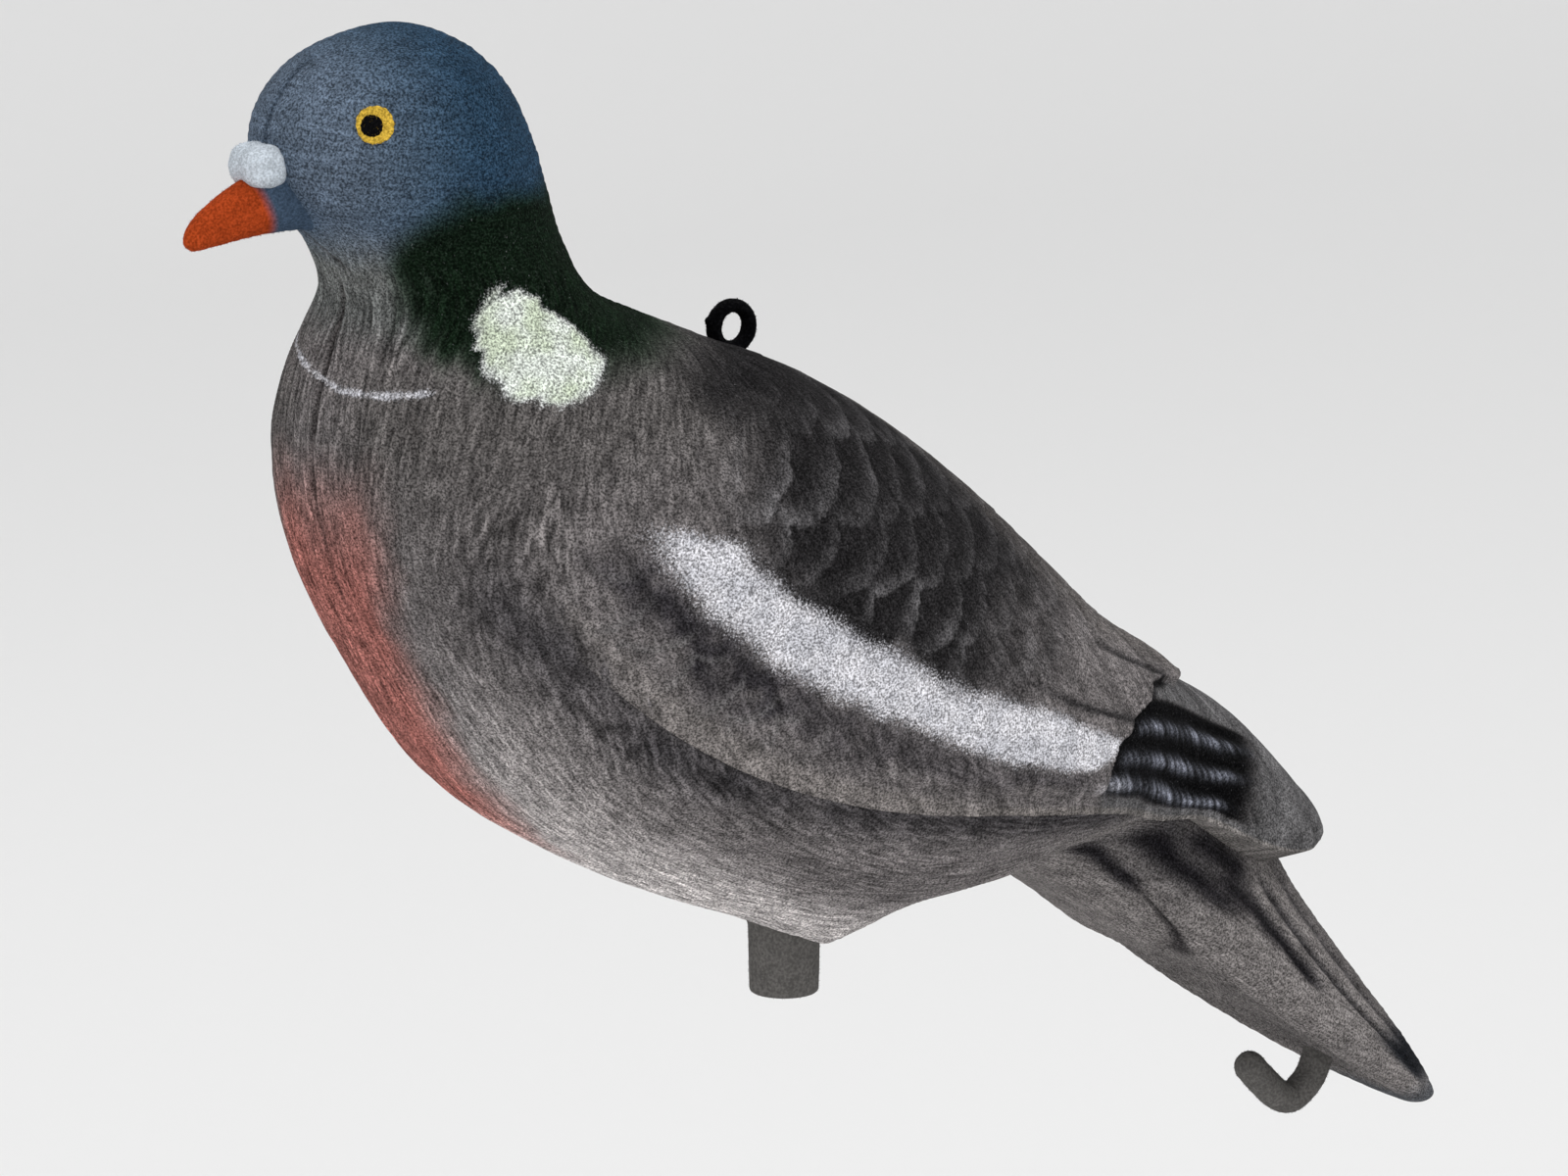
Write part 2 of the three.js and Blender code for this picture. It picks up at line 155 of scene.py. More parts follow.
# The upper edge of the dark collar, the white line on the breast and the crease under the chin.
COLLAR_TOP = ((0, 1.6, 1.94, 2.35, 2.6, 2.8), (3.8, 3.9, 4.25, 4.75, 5.3, 6.6))
BREAST_LINE = ((2.4, 2.47, 2.74, 3.02, 3.25, 3.6, 3.9), (7.6, 7.64, 7.73, 7.73, 7.51, 7.2, 7.0))
JAW_LINE = ((2.9, 3.04, 3.19, 3.29, 3.5), (5.6, 5.31, 5.01, 4.83, 4.5))

# Dark patches on the tail beside the under tail coverts: stations, angles, half width and strength.
DARK_PATCHES = (((15.7, 16.15, 16.87, 17.3), (1.97, 2.01, 2.01, 2.02), 0.08, 0.8),
           ((15.9, 16.6, 17.37, 17.9), (1.66, 1.6, 1.43, 1.32), 0.13, 0.85),
           ((16.2, 16.7, 17.15, 17.6), (1.3, 1.24, 1.12, 1.2), 0.13, 0.8),
           ((17.0, 17.7, 18.55, 19.0), (1.3, 1.22, 1.15, 1.2), 0.08, 0.75))

# The white neck patch: its middle and the two half axes of its slanting oval, as stations and angles.
PATCH_AT = (6.82, 1.77)
PATCH_LONG, PATCH_SHORT = (0.5, -0.315), (1.095, 0.23)

# The strokes by the wing slant off the run of the body: their shares along it and across it.
SLANT_ALONG, SLANT_ACROSS = 0.98, 0.2

# Colours of the head, the body and the tail, in sRGB from 0 to 255.
GREY_DARK, GREY_MID, GREY_PALE = (72, 69, 69), (104, 100, 100), (158, 153, 152)
CHARCOAL, BLACK = (30, 29, 30), (4, 4, 5)
BLUE_DARK, BLUE_PALE, BLUE_LORE, BLUE_SEAM = (36, 57, 76), (84, 96, 111), (48, 67, 90), (38, 48, 60)
COLLAR_GREEN = (10, 22, 12)
BREAST_PINK = (148, 95, 88)
NECK_GREY, SHOULDER_GREY, VENT_GREY = (98, 100, 99), (84, 81, 80), (112, 108, 107)
# The belly's pale grey is partly its own colour and partly painted light on the underside.
BELLY_PALE = (180, 175, 174)
# Painted shade on the flank under the wing.
FLANK_SHADE = (60, 58, 60)
SEAM_BROWN_AND_CREASE_SHADE = (40, 36, 36)
# Painted shade in the tail's grooves, the grey of its lower edge strip, and painted shade on it under the
# wing.
TAIL_GROOVE_SHADE, TAIL_EDGE, TAIL_SHADE = (34, 33, 35), (58, 56, 56), (62, 60, 61)
COVERT_SHADOW = (40, 38, 39)
DARK_PATCH_BLACK = (16, 15, 18)
TIP_BAND, TIP_GREY = (18, 20, 24), (64, 68, 74)

# Colours of the wings and of the sprayed white.
WING_GREY, CROWN_GREY, PRIMARY_GREY = (100, 96, 96), (84, 80, 78), (86, 85, 86)
# Painted highlight along the raised scalloped edges of the coverts, painted shade just under them, and
# painted highlight on the low scallops.
SCALLOP_HIGHLIGHT, SCALLOP_SHADE, LOW_SCALLOP_HIGHLIGHT = (128, 126, 128), (20, 19, 21), (112, 110, 110)
LOWER_DARK, LOWER_PALE, RIM_GREY = (46, 44, 47), (120, 115, 112), (118, 113, 109)
# Painted shadow under the lower edges of the tertial feathers.
TERTIAL_SHADOW = (34, 33, 34)
STREAK_GREY = (116, 119, 130)
TUFT_WHITE = (150, 150, 156)
BAR_BRIGHT, BAR_DULL = (198, 197, 202), (178, 178, 184)
PATCH_BRIGHT, PATCH_DULL = (198, 204, 197), (180, 190, 170)

# Colours of the beak's root, the cere, the eyes and the ring.
BEAK_ROOT, CERE_GREY = (62, 78, 97), (189, 197, 205)
IRIS_YELLOW, PUPIL_BLACK = (194, 160, 60), (10, 10, 12)
RING_BLACK = (7, 7, 9)

# The beak's root: its colour, the two places along the bird between which it ends, and how far that
# boundary leans for each millimetre of height.
BEAK_BOUNDARY = (BEAK_ROOT, -56.2, -59.2, 0.39)

# The cere's half length, half width and half height, and its place off the face.
CERE_HALVES = np.array([5.3, 6.7, 4.8])
CERE_SHIFT = np.array([0.2, 0, 1.1])

# The eyes' spots, how far the pupil lies ahead, and how round the head is there.
IRIS_RADIUS, PUPIL_RADIUS, PUPIL_AHEAD = 3.9, 2.4, 0.6
HEAD_ROUND = 27.0

# The hook's route from the tail, in shares of its reach along the bird and of its drop.
HOOK_REACH, HOOK_DROP = 19.5, 9.0
HOOK_ROUTE = np.array([[0.1, 0.5], [0, -0.15], [-0.12, -0.62], [-0.36, -1],
                       [-0.58, -0.88], [-0.8, -0.45], [-1, 0]])

# The stub's top inside the belly, and the socket's radius and depth.
STUB_TOP = 30.0
SOCKET, SOCKET_TOP = 5.0, 26.0

# The flock: lumps on the moulded bars, fibres for each square millimetre, and their shape.
LUMP_SIZE, LUMP_HEIGHT = 1.6 * MM, 0.3 * MM
FIBRE_DENSITY = 1.6
FIBRE = {"Length": 0.5 * MM, "Thickness": 0.07 * MM, "Lean": 0.7, "Seed": 7}

# The stage, in metres: the floor's height and the bend up to its back, lights by place, width and
# power, and the camera's place as seen from the bird's left side.
FLOOR_Z, FLOOR_BEND = -0.42, 1.5
FLOOR_FRONT, FLOOR_BACK, FLOOR_TOP, FLOOR_SIDE = -6.0, 3.0, 7.0, 9.0
FLOOR_GREY = (0.82, 0.82, 0.82, 1)
SKY_STRENGTH = 0.9
LIGHTS = {
    "key": ((0.6, -1.3, 1.9), 1.4, 16),
    "fill": ((-2.0, -1.4, 0.7), 1.6, 6),
    "back": ((0.8, 1.5, 1.6), 1.2, 5),
}
LIT_POINT = (0, 0, 0.09)
CAMERA_TURN, CAMERA_LIFT, CAMERA_DISTANCE = math.radians(35), math.radians(12), 1.5
CAMERA_TARGET = (0, 0, 0.0889)
FOCAL_PIXELS, FRAME_PIXELS, SENSOR = 7170, 1600, 36


# Soft steps, lines and noise

def smooth(low, high, x):
    """A soft step from 0 at low to 1 at high."""
    t = np.clip((x - low) / (high - low), 0, 1)
    return t * t * (3 - 2 * t)


def fall(start, end, x):
    """A soft step from 1 at the start to 0 at the end."""
    return 1 - smooth(start, end, x)


def between(x, start, full, ending, end):
    """A soft band that is 1 from full to ending, and 0 before the start and after the end."""
    return smooth(start, full, x) * fall(ending, end, x)


def bump(x, middle, width):
    return np.exp(-(((x - middle) / width) ** 2))


def through(line, x):
    """Height at x of a line through points."""
    return np.interp(x, *line)


def seen_along(points, x, fade):
    """Share from 0 to 1 between the first and last points of a line, with soft ends."""
    return between(x, points[0], points[0] + fade, points[-1] - fade, points[-1])


def from_back(angle):
    """Angle from the back line, from 0 to pi on either side."""
    return np.arccos(np.cos(angle))


def lattice(i, seed):
    """A random value from -1 to 1 for each whole place."""
    h = (i[..., 0] * 374761393 + i[..., 1] * 668265263 + i[..., 2] * 1440662683 + seed * 974634777)
    h = h & 0xFFFFFFFF
    h = ((h ^ (h >> 13)) * 1274126177) & 0xFFFFFFFF
    return ((h ^ (h >> 16)) & 0xFFFF) / 32767.5 - 1


def noise(points, size, seed):
    """Smooth value noise from -1 to 1, with lumps of that size in millimetres."""
    p = points / size
    i = np.floor(p).astype(np.int64)
    f = p - i
    f = f * f * (3 - 2 * f)
    total = np.zeros(p.shape[:-1])
    for corner in range(8):
        bits = np.array([corner & 1, corner >> 1 & 1, corner >> 2 & 1])
        weight = np.prod(np.where(bits, f, 1 - f), axis=-1)
        total += weight * lattice(i + bits, seed)
    return total


def strokes(across, along, width, length, seed):
    """Broken strokes from -1 to 1: noise drawn out along one direction."""
    return noise(np.stack([across / width, along / length, 0 * across], -1), 1.0, seed)


def ridges(across, along, seed, width, length, pitch, regular, wander, loose):
    """Combed ridges: a regular wave of that pitch, which broken strokes push about and overlay."""
    broken = strokes(across, along, width, length, seed)
    return regular * np.sin(2 * math.pi * across / pitch + wander * broken) + loose * broken


# The smooth body

def straight_on(end, inner):
    """The row past an end where the form runs straight on."""
    return 2 * end - inner


def over_body_end(_, inner):
    """The row past the crown or the tail's tip, where the form turns over: its back becomes its underside."""
    turned = inner[[2, 3, 0, 1, 4, 5, 6, 7]].copy()
    turned[4] = -turned[4]
    return turned


def over_beak_end(_, inner):
    """The row past an end of the beak, where its section turns inside out."""
    return inner * np.array([1, 1, -1, -1])


def rows_at(rows, u, beyond=straight_on):
    """Rows between the given rows, on a Catmull-Rom spline through them."""
    padded = np.vstack([beyond(rows[0], rows[1]), rows, beyond(rows[-1], rows[-2])])
    i = np.clip(np.floor(u).astype(int), 0, len(rows) - 2)
    f = (u - i)[..., None]
    p0, p1, p2, p3 = padded[i], padded[i + 1], padded[i + 2], padded[i + 3]
    a = p2 - p0
    b = 2 * p0 - 5 * p1 + 4 * p2 - p3
    c = 3 * p1 - p0 - 3 * p2 + p3
    return 0.5 * (2 * p1 + f * (a + f * (b + f * c)))


def skin(u, angle):
    """Points of the smooth body. Angle 0 is the back line, pi the under line, 0 to pi the left side."""
    row = np.moveaxis(rows_at(STATIONS, u, over_body_end), -1, 0)
    under_x, under_z, back_x, back_z, half, droop, crest, keel = row
    fullness = crest + (keel - crest) * (1 - np.cos(angle)) / 2
    side = np.sign(np.sin(angle)) * np.abs(np.sin(angle)) ** fullness
    half_x, half_z = (back_x - under_x) / 2, (back_z - under_z) / 2
    depth = np.maximum(np.hypot(half_x, half_z), 1e-6)
    up = np.cos(angle) - droop / depth * side ** 2
    x = (under_x + back_x) / 2 + half_x * up
    z = (under_z + back_z) / 2 + half_z * up
    return np.stack([x, -half * side, z + STUB_LENGTH], -1)


def skin_normal(u, angle):
    """Outward direction of the smooth body."""
    step = 1e-3
    along = skin(u + step, angle) - skin(u - step, angle)
    around = skin(u, angle + step) - skin(u, angle - step)
    out = np.cross(around, along)
    return out / np.maximum(np.linalg.norm(out, axis=-1, keepdims=True), 1e-12)


class Arcs:
    """Distances over the smooth body: round it from the under line, and along it from the crown."""

    def __init__(self):
        self.us = np.linspace(0, TAIL_ENDS_AT, 221)
        self.angles = np.linspace(0, math.pi, 121)
        u, a = np.meshgrid(self.us, self.angles, indexing="ij")
        p = skin(u, a)
        round_step = np.linalg.norm(np.diff(p, axis=1), axis=-1)
        along_step = np.linalg.norm(np.diff(p, axis=0), axis=-1)
        girth = np.zeros(u.shape)
        girth[:, :-1] = np.cumsum(round_step[:, ::-1], axis=1)[:, ::-1]
        run = np.zeros(u.shape)
        run[1:] = np.cumsum(along_step, axis=0)
        self.tables = (girth, run)

    def __call__(self, u, angle):
        folded = np.arccos(np.clip(np.cos(angle), -1, 1))
        i = np.clip(u / self.us[1], 0, len(self.us) - 1.001)
        j = np.clip(folded / self.angles[1], 0, len(self.angles) - 1.001)
        i0, j0 = np.floor(i).astype(int), np.floor(j).astype(int)
        fi, fj = i - i0, j - j0
        out = []
        for t in self.tables:
            low = t[i0, j0] * (1 - fj) + t[i0, j0 + 1] * fj
            high = t[i0 + 1, j0] * (1 - fj) + t[i0 + 1, j0 + 1] * fj
            out.append(low * (1 - fi) + high * fi)
        return out


ARCS = Arcs()


# Grain of the plumage

def below_wing(u, folded):
    """Angle past the wing's lower edge."""
    return folded - np.interp(u, WING_ROWS[:, 2], WING_ROWS[:, 3])


def grain_kinds(u, angle, point):
    """Where the plumage runs in strands, in slants and in rings, each from 0 to 1."""
    on_head = fall(4.2, 5.8, u)
    by_wing = between(u, 8.2, 9.4, 14.6, 15.8) * fall(0.15, 0.5, below_wing(u, from_back(angle)))
    strength = (0.85 + 0.35 * noise(point, 9, 8)) * smooth(0, 0.8, u)
    kinds = [(1 - by_wing) * (1 - on_head), by_wing * (1 - on_head), on_head]
    return np.stack(kinds, -1) * strength[..., None]


def combing(u, angle, point):
    """The distances round and along the body that the strokes follow."""
    girth, run = ARCS(u, angle)
    drift = 2.6 * noise(point, 34, 3) + 0.8 * noise(point, 11, 5)
    return np.stack([girth + drift, run, 0 * girth], -1)


def grain(u, angle, point):
    """The combed plumage from -1 to 1: rings on the head, strands down the breast, slants by the wing."""
    girth, run, _ = np.moveaxis(combing(u, angle, point), -1, 0)
    across = SLANT_ALONG * girth + SLANT_ACROSS * run
    along = SLANT_ALONG * run - SLANT_ACROSS * girth
    strands = ridges(girth, run, seed=11, width=1.7, length=10,
                     pitch=2.1, regular=0.5, wander=2.2, loose=0.6)
    slants = ridges(across, along, seed=12, width=2.0, length=7,
                    pitch=2.8, regular=0.4, wander=2.4, loose=0.9)
    rings = ridges(run, girth, seed=13, width=1.7, length=12,
                   pitch=2.2, regular=0.25, wander=2.2, loose=0.25)
    kinds = grain_kinds(u, angle, point)
    return strands * kinds[..., 0] + 1.15 * slants * kinds[..., 1] + rings * kinds[..., 2]


def tail_barbs(point, pitch):
    """Fine slanting barbs, from -1 to 1."""
    drift = 0.9 * noise(point, 16, 21) + 0.5 * noise(point, 4, 22)
    along = point[..., 2] + 0.16 * point[..., 0] + drift
    return ridges(along, point[..., 0], seed=23, width=1.4, length=5,
                  pitch=pitch, regular=0.3, wander=2.2, loose=0.6)


# Relief of the head, the body and the tail

def covert_edge(angle):
    return through(COVERT_EDGE, from_back(angle))


def jaw_crease(u, angle):
    return bump(u, through(JAW_LINE, angle), 0.06) * seen_along(JAW_LINE[0], angle, 0.15)


def tail_features(u, angle):
    """Grooves between the tail feathers and the strip along its lower edge."""
    folded = from_back(angle)
    upper = bump(folded, 0.93, 0.045) + 0.7 * bump(folded, 0.66, 0.05) + 0.5 * bump(folded, 0.3, 0.06)
    middle = bump(folded, 1.14 + 0.04 * (u - 18), 0.05) * fall(18.7, 19.0, u)
    strip = smooth(2.12, 2.3, folded) * between(u, 17.9, 18.5, 20.6, 21.4)
    return (upper + middle) * between(u, 17.2, 17.8, 19.6, 20.6), strip


def body_relief(u, angle, point):
    """Heights of the head and body: grain, parting line, thigh tuft and under tail coverts."""
    folded = from_back(angle)
    girth, _ = ARCS(u, angle)
    seam = bump(girth, 0, 0.6) * between(u, 5.2, 6, 10.6, 12.4)
    seam = seam + 0.5 * bump(girth, 0, 0.7) * between(u, 1, 1.6, 3, 3.5)
    tuft = 5.6 * bump(u, 14.55, 0.4) * bump(folded, 2.8, 0.27) * (1 + 0.12 * noise(point, 5, 31))
    combed = 0.36 * grain(u, angle, point) * fall(14.8, 16.2, u)
    lobe = smooth(13.5, 15.5, u) * smooth(1.85, 2.1, folded)
    barbs = 0.2 * tail_barbs(point, 2.2) * smooth(15.2, 16.6, u)
    edge = covert_edge(angle)
    ended = smooth(edge, edge + 0.1, u)
    plumage = (combed + barbs + 1.5 * lobe) * (1 - ended) - 1.6 * ended
    return plumage + tuft - 0.8 * seam - 0.5 * jaw_crease(u, angle)


def tail_relief(u, angle, point):
    """Heights of the tail: long feather grooves above, slanting barbs, and the strip along its edge."""
    grooves, strip = tail_features(u, angle)
    barbs = 0.17 * tail_barbs(point, 1.9) * fall(20.8, 21.8, u)
    across = 0.2 * np.sin(2 * math.pi * (point[..., 0] + 0.4 * noise(point, 5, 24)) / 2.6) * strip
    buried = 1.3 * fall(15.6, 16.4, u)
    return barbs * (1 - strip) + across - 0.9 * grooves - 0.45 * strip - buried


# Paint of the head, the body and the tail

def mix(colour, other, share):
    share = np.clip(share, 0, 1)[..., None]
    return colour * (1 - share) + np.asarray(other, float) * share


def coat(colour, shape):
    """One colour all over."""
    return np.broadcast_to(np.asarray(colour, float), shape + (3,)).copy()


def body_paint(u, angle, point):
    """Paint of head, body and tail, by layer: colour, white, patch, combing and kinds of grain."""
    folded = from_back(angle)
    girth, _ = ARCS(u, angle)
    soft = 0.14 * noise(point, 16, 41) + 0.1 * noise(point, 6, 42)
    colour = grey_paint(u, folded, soft)
    far = smooth(math.pi - 0.1, math.pi + 0.05, angle) * fall(3.42, 3.68, angle + 0.3 * soft)
    pink = np.maximum(smooth(2.8, 3.06, folded + 0.3 * soft + 0.05 * (10.4 - u)), far)
    colour = mix(colour, BREAST_PINK, pink * smooth(8.5, 10.2, u + soft) * fall(12.0, 13.0, u))
    colour = mix(colour, NECK_GREY, fall(6.2, 7.2, u))
    colour = mix(colour, blue_paint(u, girth, point), fall(4.3, 5.6, u + soft))
    collar = smooth(-0.3, 0.4, u - through(COLLAR_TOP, folded) + soft) * fall(6.8, 8.0, u + soft)
    front = 2.52 - 0.1 * (u - 5.1) + 0.12 * strokes(girth, point[..., 2], 1.8, 12, 44)
    colour = mix(colour, COLLAR_GREEN, 0.97 * collar * fall(-0.26, 0.22, folded + soft - front))
    back = smooth(7.2, 8.4, u + soft) * fall(0.9, 1.5, folded + soft) * fall(15, 16, u)
    colour = mix(colour, CHARCOAL, back)
    colour = tail_paint(colour, u, angle, soft)
    # Brown along the parting line, and painted shade in the crease under the chin.
    seam = bump(girth, 0, 0.8) * between(u, 5.4, 6.4, 9.6, 11)
    colour = mix(colour, SEAM_BROWN_AND_CREASE_SHADE, np.maximum(0.75 * seam, 0.6 * jaw_crease(u, angle)))
    combed = grain(u, angle, point) * fall(14.8, 16.2, u)
    combed = combed + 0.5 * tail_barbs(point, 2.0) * smooth(15.2, 16.6, u)
    colour = colour * (1 + 0.2 * combed + 0.08 * noise(point, 3.2, 43))[..., None]
    patch, line = neck_white(u, angle, point)
    kinds = grain_kinds(u, angle, point) * np.array([1, 1.3, 0.35])
    kinds = kinds * (1 - 0.4 * smooth(15.8, 16.8, u))[..., None]
    return {"paint": colour, "white": np.maximum(patch, line), "patch": np.clip(patch, 0, 1),
            "combing": combing(u, angle, point), "kinds": kinds}


def grey_paint(u, folded, soft):
    """The greys of breast, flank, belly and vent, with painted shade on the flank under the wing's lower
    edge.
    """
    shoulder = bump(u, 8.2, 1.3) * fall(2.75, 3.1, folded)
    colour = mix(coat(GREY_MID, u.shape), SHOULDER_GREY, shoulder + 0.4 * soft)
    colour = mix(colour, GREY_DARK, 0.25 * between(u, 8, 9.5, 10.6, 12.2) * fall(2.5, 3, folded))
    # The pale underside is partly its own paler grey and partly painted light, where the lamps leave it
    # darker.
    under = smooth(10.4, 12.2, u) * smooth(2.25, 2.75, folded)
    behind = smooth(14.2, 15.6, u)
    colour = mix(colour, GREY_PALE, under * (1 - behind) + 0.4 * soft)
    colour = mix(colour, VENT_GREY, behind)
    colour = mix(colour, BELLY_PALE, 0.8 * under * smooth(12, 13.2, u) * (1 - behind))
    # Painted shade: a darker band on the flank just under the wing's lower edge.
    shade = bump(below_wing(u, folded), 0.08, 0.15) * between(u, 9.4, 10.6, 14.8, 15.8)
    return mix(colour, FLANK_SHADE, shade * (0.8 + 2 * soft))


def blue_paint(u, girth, point):
    """The blue of the head, paler in front as painted light falling on the face, with a deeper blue before
    the eye and along the seam.
    """
    # Painted light: the head is paler towards its front, where the light falls.
    pale = smooth(-88, -122, point[..., 0]) + 0.4 * smooth(4.2, 5.4, u)
    colour = mix(coat(BLUE_DARK, u.shape), BLUE_PALE, pale)
    lore = bump(np.linalg.norm(point - np.array([-121, 0, 181]), axis=-1), 0, 7.5)
    colour = mix(colour, BLUE_LORE, 0.7 * lore)
    return mix(colour, BLUE_SEAM, 0.5 * bump(girth, 0, 0.8) * between(u, 0.8, 1.4, 3.0, 3.4))


def tail_paint(colour, u, angle, soft):
    """Dark patches, painted shade in the grooves, under the coverts' edge and under the wing, and the dark
    tip of the tail.
    """
    folded = from_back(angle)
    colour = mix(colour, GREY_DARK, 0.6 * smooth(16, 17, u) * fall(0.4, 0.9, folded))
    grooves, strip = tail_features(u, angle)
    # Painted shade in the grooves between the tail feathers.
    colour = mix(colour, TAIL_GROOVE_SHADE, 0.75 * grooves)
    colour = mix(colour, TAIL_EDGE, 0.3 * strip)
    shadow = bump(u, covert_edge(angle) + 0.1, 0.12) * between(folded, 1.95, 2.05, 2.3, 2.7)
    colour = mix(colour, COVERT_SHADOW, 0.85 * shadow)
    # Painted shade on the side of the tail under the wing.
    under = bump(folded, 1.45, 0.4) * between(u, 15.5, 16.1, 16.8, 17.8)
    colour = mix(colour, TAIL_SHADE, (0.75 + 1.5 * soft) * under)
    for stations, angles, width, strength in DARK_PATCHES:
        dark_patch = bump(folded + 0.3 * soft, np.interp(u, stations, angles), width)
        dark_patch = dark_patch * seen_along(stations, u, 0.45)
        colour = mix(colour, DARK_PATCH_BLACK, strength * dark_patch * (1 + 1.2 * soft))
    colour = mix(colour, TIP_BAND, 0.95 * between(u, 19.5, 20.1, 20.4, 20.9) * fall(0.98, 1.2, folded))
    return mix(colour, TIP_GREY, 0.7 * smooth(20.5, 21.2, u))


def neck_white(u, angle, point):
    """The white neck patch and the thin white line round the breast."""
    ahead, down = u - PATCH_AT[0], from_back(angle) - PATCH_AT[1]
    (a, c), (b, d) = PATCH_LONG, PATCH_SHORT
    reach = np.hypot(ahead * d - down * b, down * a - ahead * c) / (a * d - b * c)
    frayed = 0.1 * strokes(point[..., 2] - 0.6 * point[..., 0], point[..., 0], 1.6, 8, 52)
    patch = fall(0.78, 1.14, reach + frayed)
    dots = 0.8 + 0.4 * noise(point, 1.6, 51) + 0.2 * noise(point, 5.0, 53)
    line = bump(u, through(BREAST_LINE, angle), 0.065) * dots * seen_along(BREAST_LINE[0], angle, 0.12)
    return patch, line


# Forms and relief of the wings

def wing_place(s, r):
    """Station, angle and height off the body for a row and a place from the wing's top to its lower edge."""
    row = np.moveaxis(rows_at(WING_ROWS, s), -1, 0)
    top_u, top_angle, edge_u, edge_angle, top, middle, edge = row
    lap = 0.012 * (1 - np.clip(r, 0, 1))
    u = top_u * (1 - r) + edge_u * r
    angle = top_angle * (1 - r) + edge_angle * r - lap
    upper = top + (middle - top) * smooth(0, 0.55, r)
    height = upper + (edge - upper) * smooth(0.6, 1, r)
    return u, angle, height


def wing_cover(s, r):
    """Share of the wing's own plumage, which runs out into the body at the shoulder and front edge."""
    return smooth(0.5, 1.9, s) * (1 - smooth(0.92, 1, r) * fall(2.2, 3.6, s))


def step_line(r):
    return through(STEP_LINE, r)


def shingles(along, across, length, width):
    """Height from 0 to 1 of round-ended feathers that overlap like roof tiles."""
    tops = []
    for parity in (0, 1):
        column = across / width + 0.5 * parity
        middle = column - np.floor(column) - 0.5
        reach = along / (2 * length) - 0.5 * parity + 0.35 * middle ** 2 + 3.2 * middle ** 4
        tops.append(reach - np.floor(reach))
    return np.maximum(tops[0], tops[1])


def primary_lines(s, r):
    """The light streaks along the primaries, and the gaps between them."""
    streak, gap = np.zeros(s.shape), np.zeros(s.shape)
    for feather in STREAKS:
        line, end = through(feather, s), feather[0][1]
        seen = between(s, 5.9, 6.3, end - 0.7, end + 0.4)
        streak = streak + bump(r, line, 0.036) * seen
        gap = gap + 0.8 * bump(r, line - 0.065, 0.022) * seen
    return streak, gap


def wing_relief(s, r, point):
    """Detail heights of the wing: covert shingles, tertial step, primary ridges and barbs."""
    u, angle, _ = wing_place(s, r)
    girth, run = ARCS(u, angle)
    step_at = step_line(r)
    tertials = smooth(step_at - 2.3, step_at, s) * fall(step_at, step_at + 0.05, s) * fall(0.86, 0.94, r)
    after = smooth(step_at, step_at + 0.12, s)
    uneven = 3.2 * noise(point, 19, 61) + 1.2 * noise(point, 6, 62)
    scale = shingles(0.8 * run + 0.35 * point[..., 0] + uneven, girth + uneven, 8.5, 21.0)
    plumed = between(s, 0.3, 1.2, step_at - 1.9, step_at - 0.9) * fall(0.6, 0.7, r)
    low = between(r, 0.82, 0.86, 0.92, 0.97) * between(s, 1.6, 2.4, 3.8, 4.4)
    slanting = point[..., 0] + 0.4 * point[..., 2] + 0.7 * noise(point, 9, 63)
    barbed = ridges(slanting, point[..., 2], seed=64, width=1.5, length=7, pitch=2.0,
                    regular=0.4, wander=1.6, loose=0.6)
    barbed = barbed * between(s, 3.2, 4.4, 8.6, 10)
    fuzz = strokes(slanting, point[..., 2], 1.3, 4.5, 65)
    streak, gap = primary_lines(s, r)
    cover = wing_cover(s, r)
    rim = bump(r, 0.925, 0.014) * between(s, 3.2, 4.4, 5.5, 6.5)
    height = 2.2 * tertials + 0.55 * (scale - 0.5) * (plumed + 0.4 * low) + 0.65 * after * (streak - gap)
    height = height + 0.12 * barbed * (1 - 0.5 * after) + 0.12 * fuzz * cover - 0.4 * rim
    height = height + 0.32 * grain(u, angle, point) * (1 - cover)
    for feather in TERTIAL_EDGES:
        line, (start, end) = through(feather, s), feather[0]
        seen = between(s, start, start + 0.6, end - 0.05, end + 0.05)
        height = height + 0.5 * seen * (between(r, line - 0.05, line, line, line + 0.008) - 0.3)
    detail = {"scale": scale, "plumed": plumed, "low": low, "after": after, "barbed": barbed,
              "fuzz": fuzz, "streak": streak, "cover": cover}
    return height, detail


# Paint of the wings

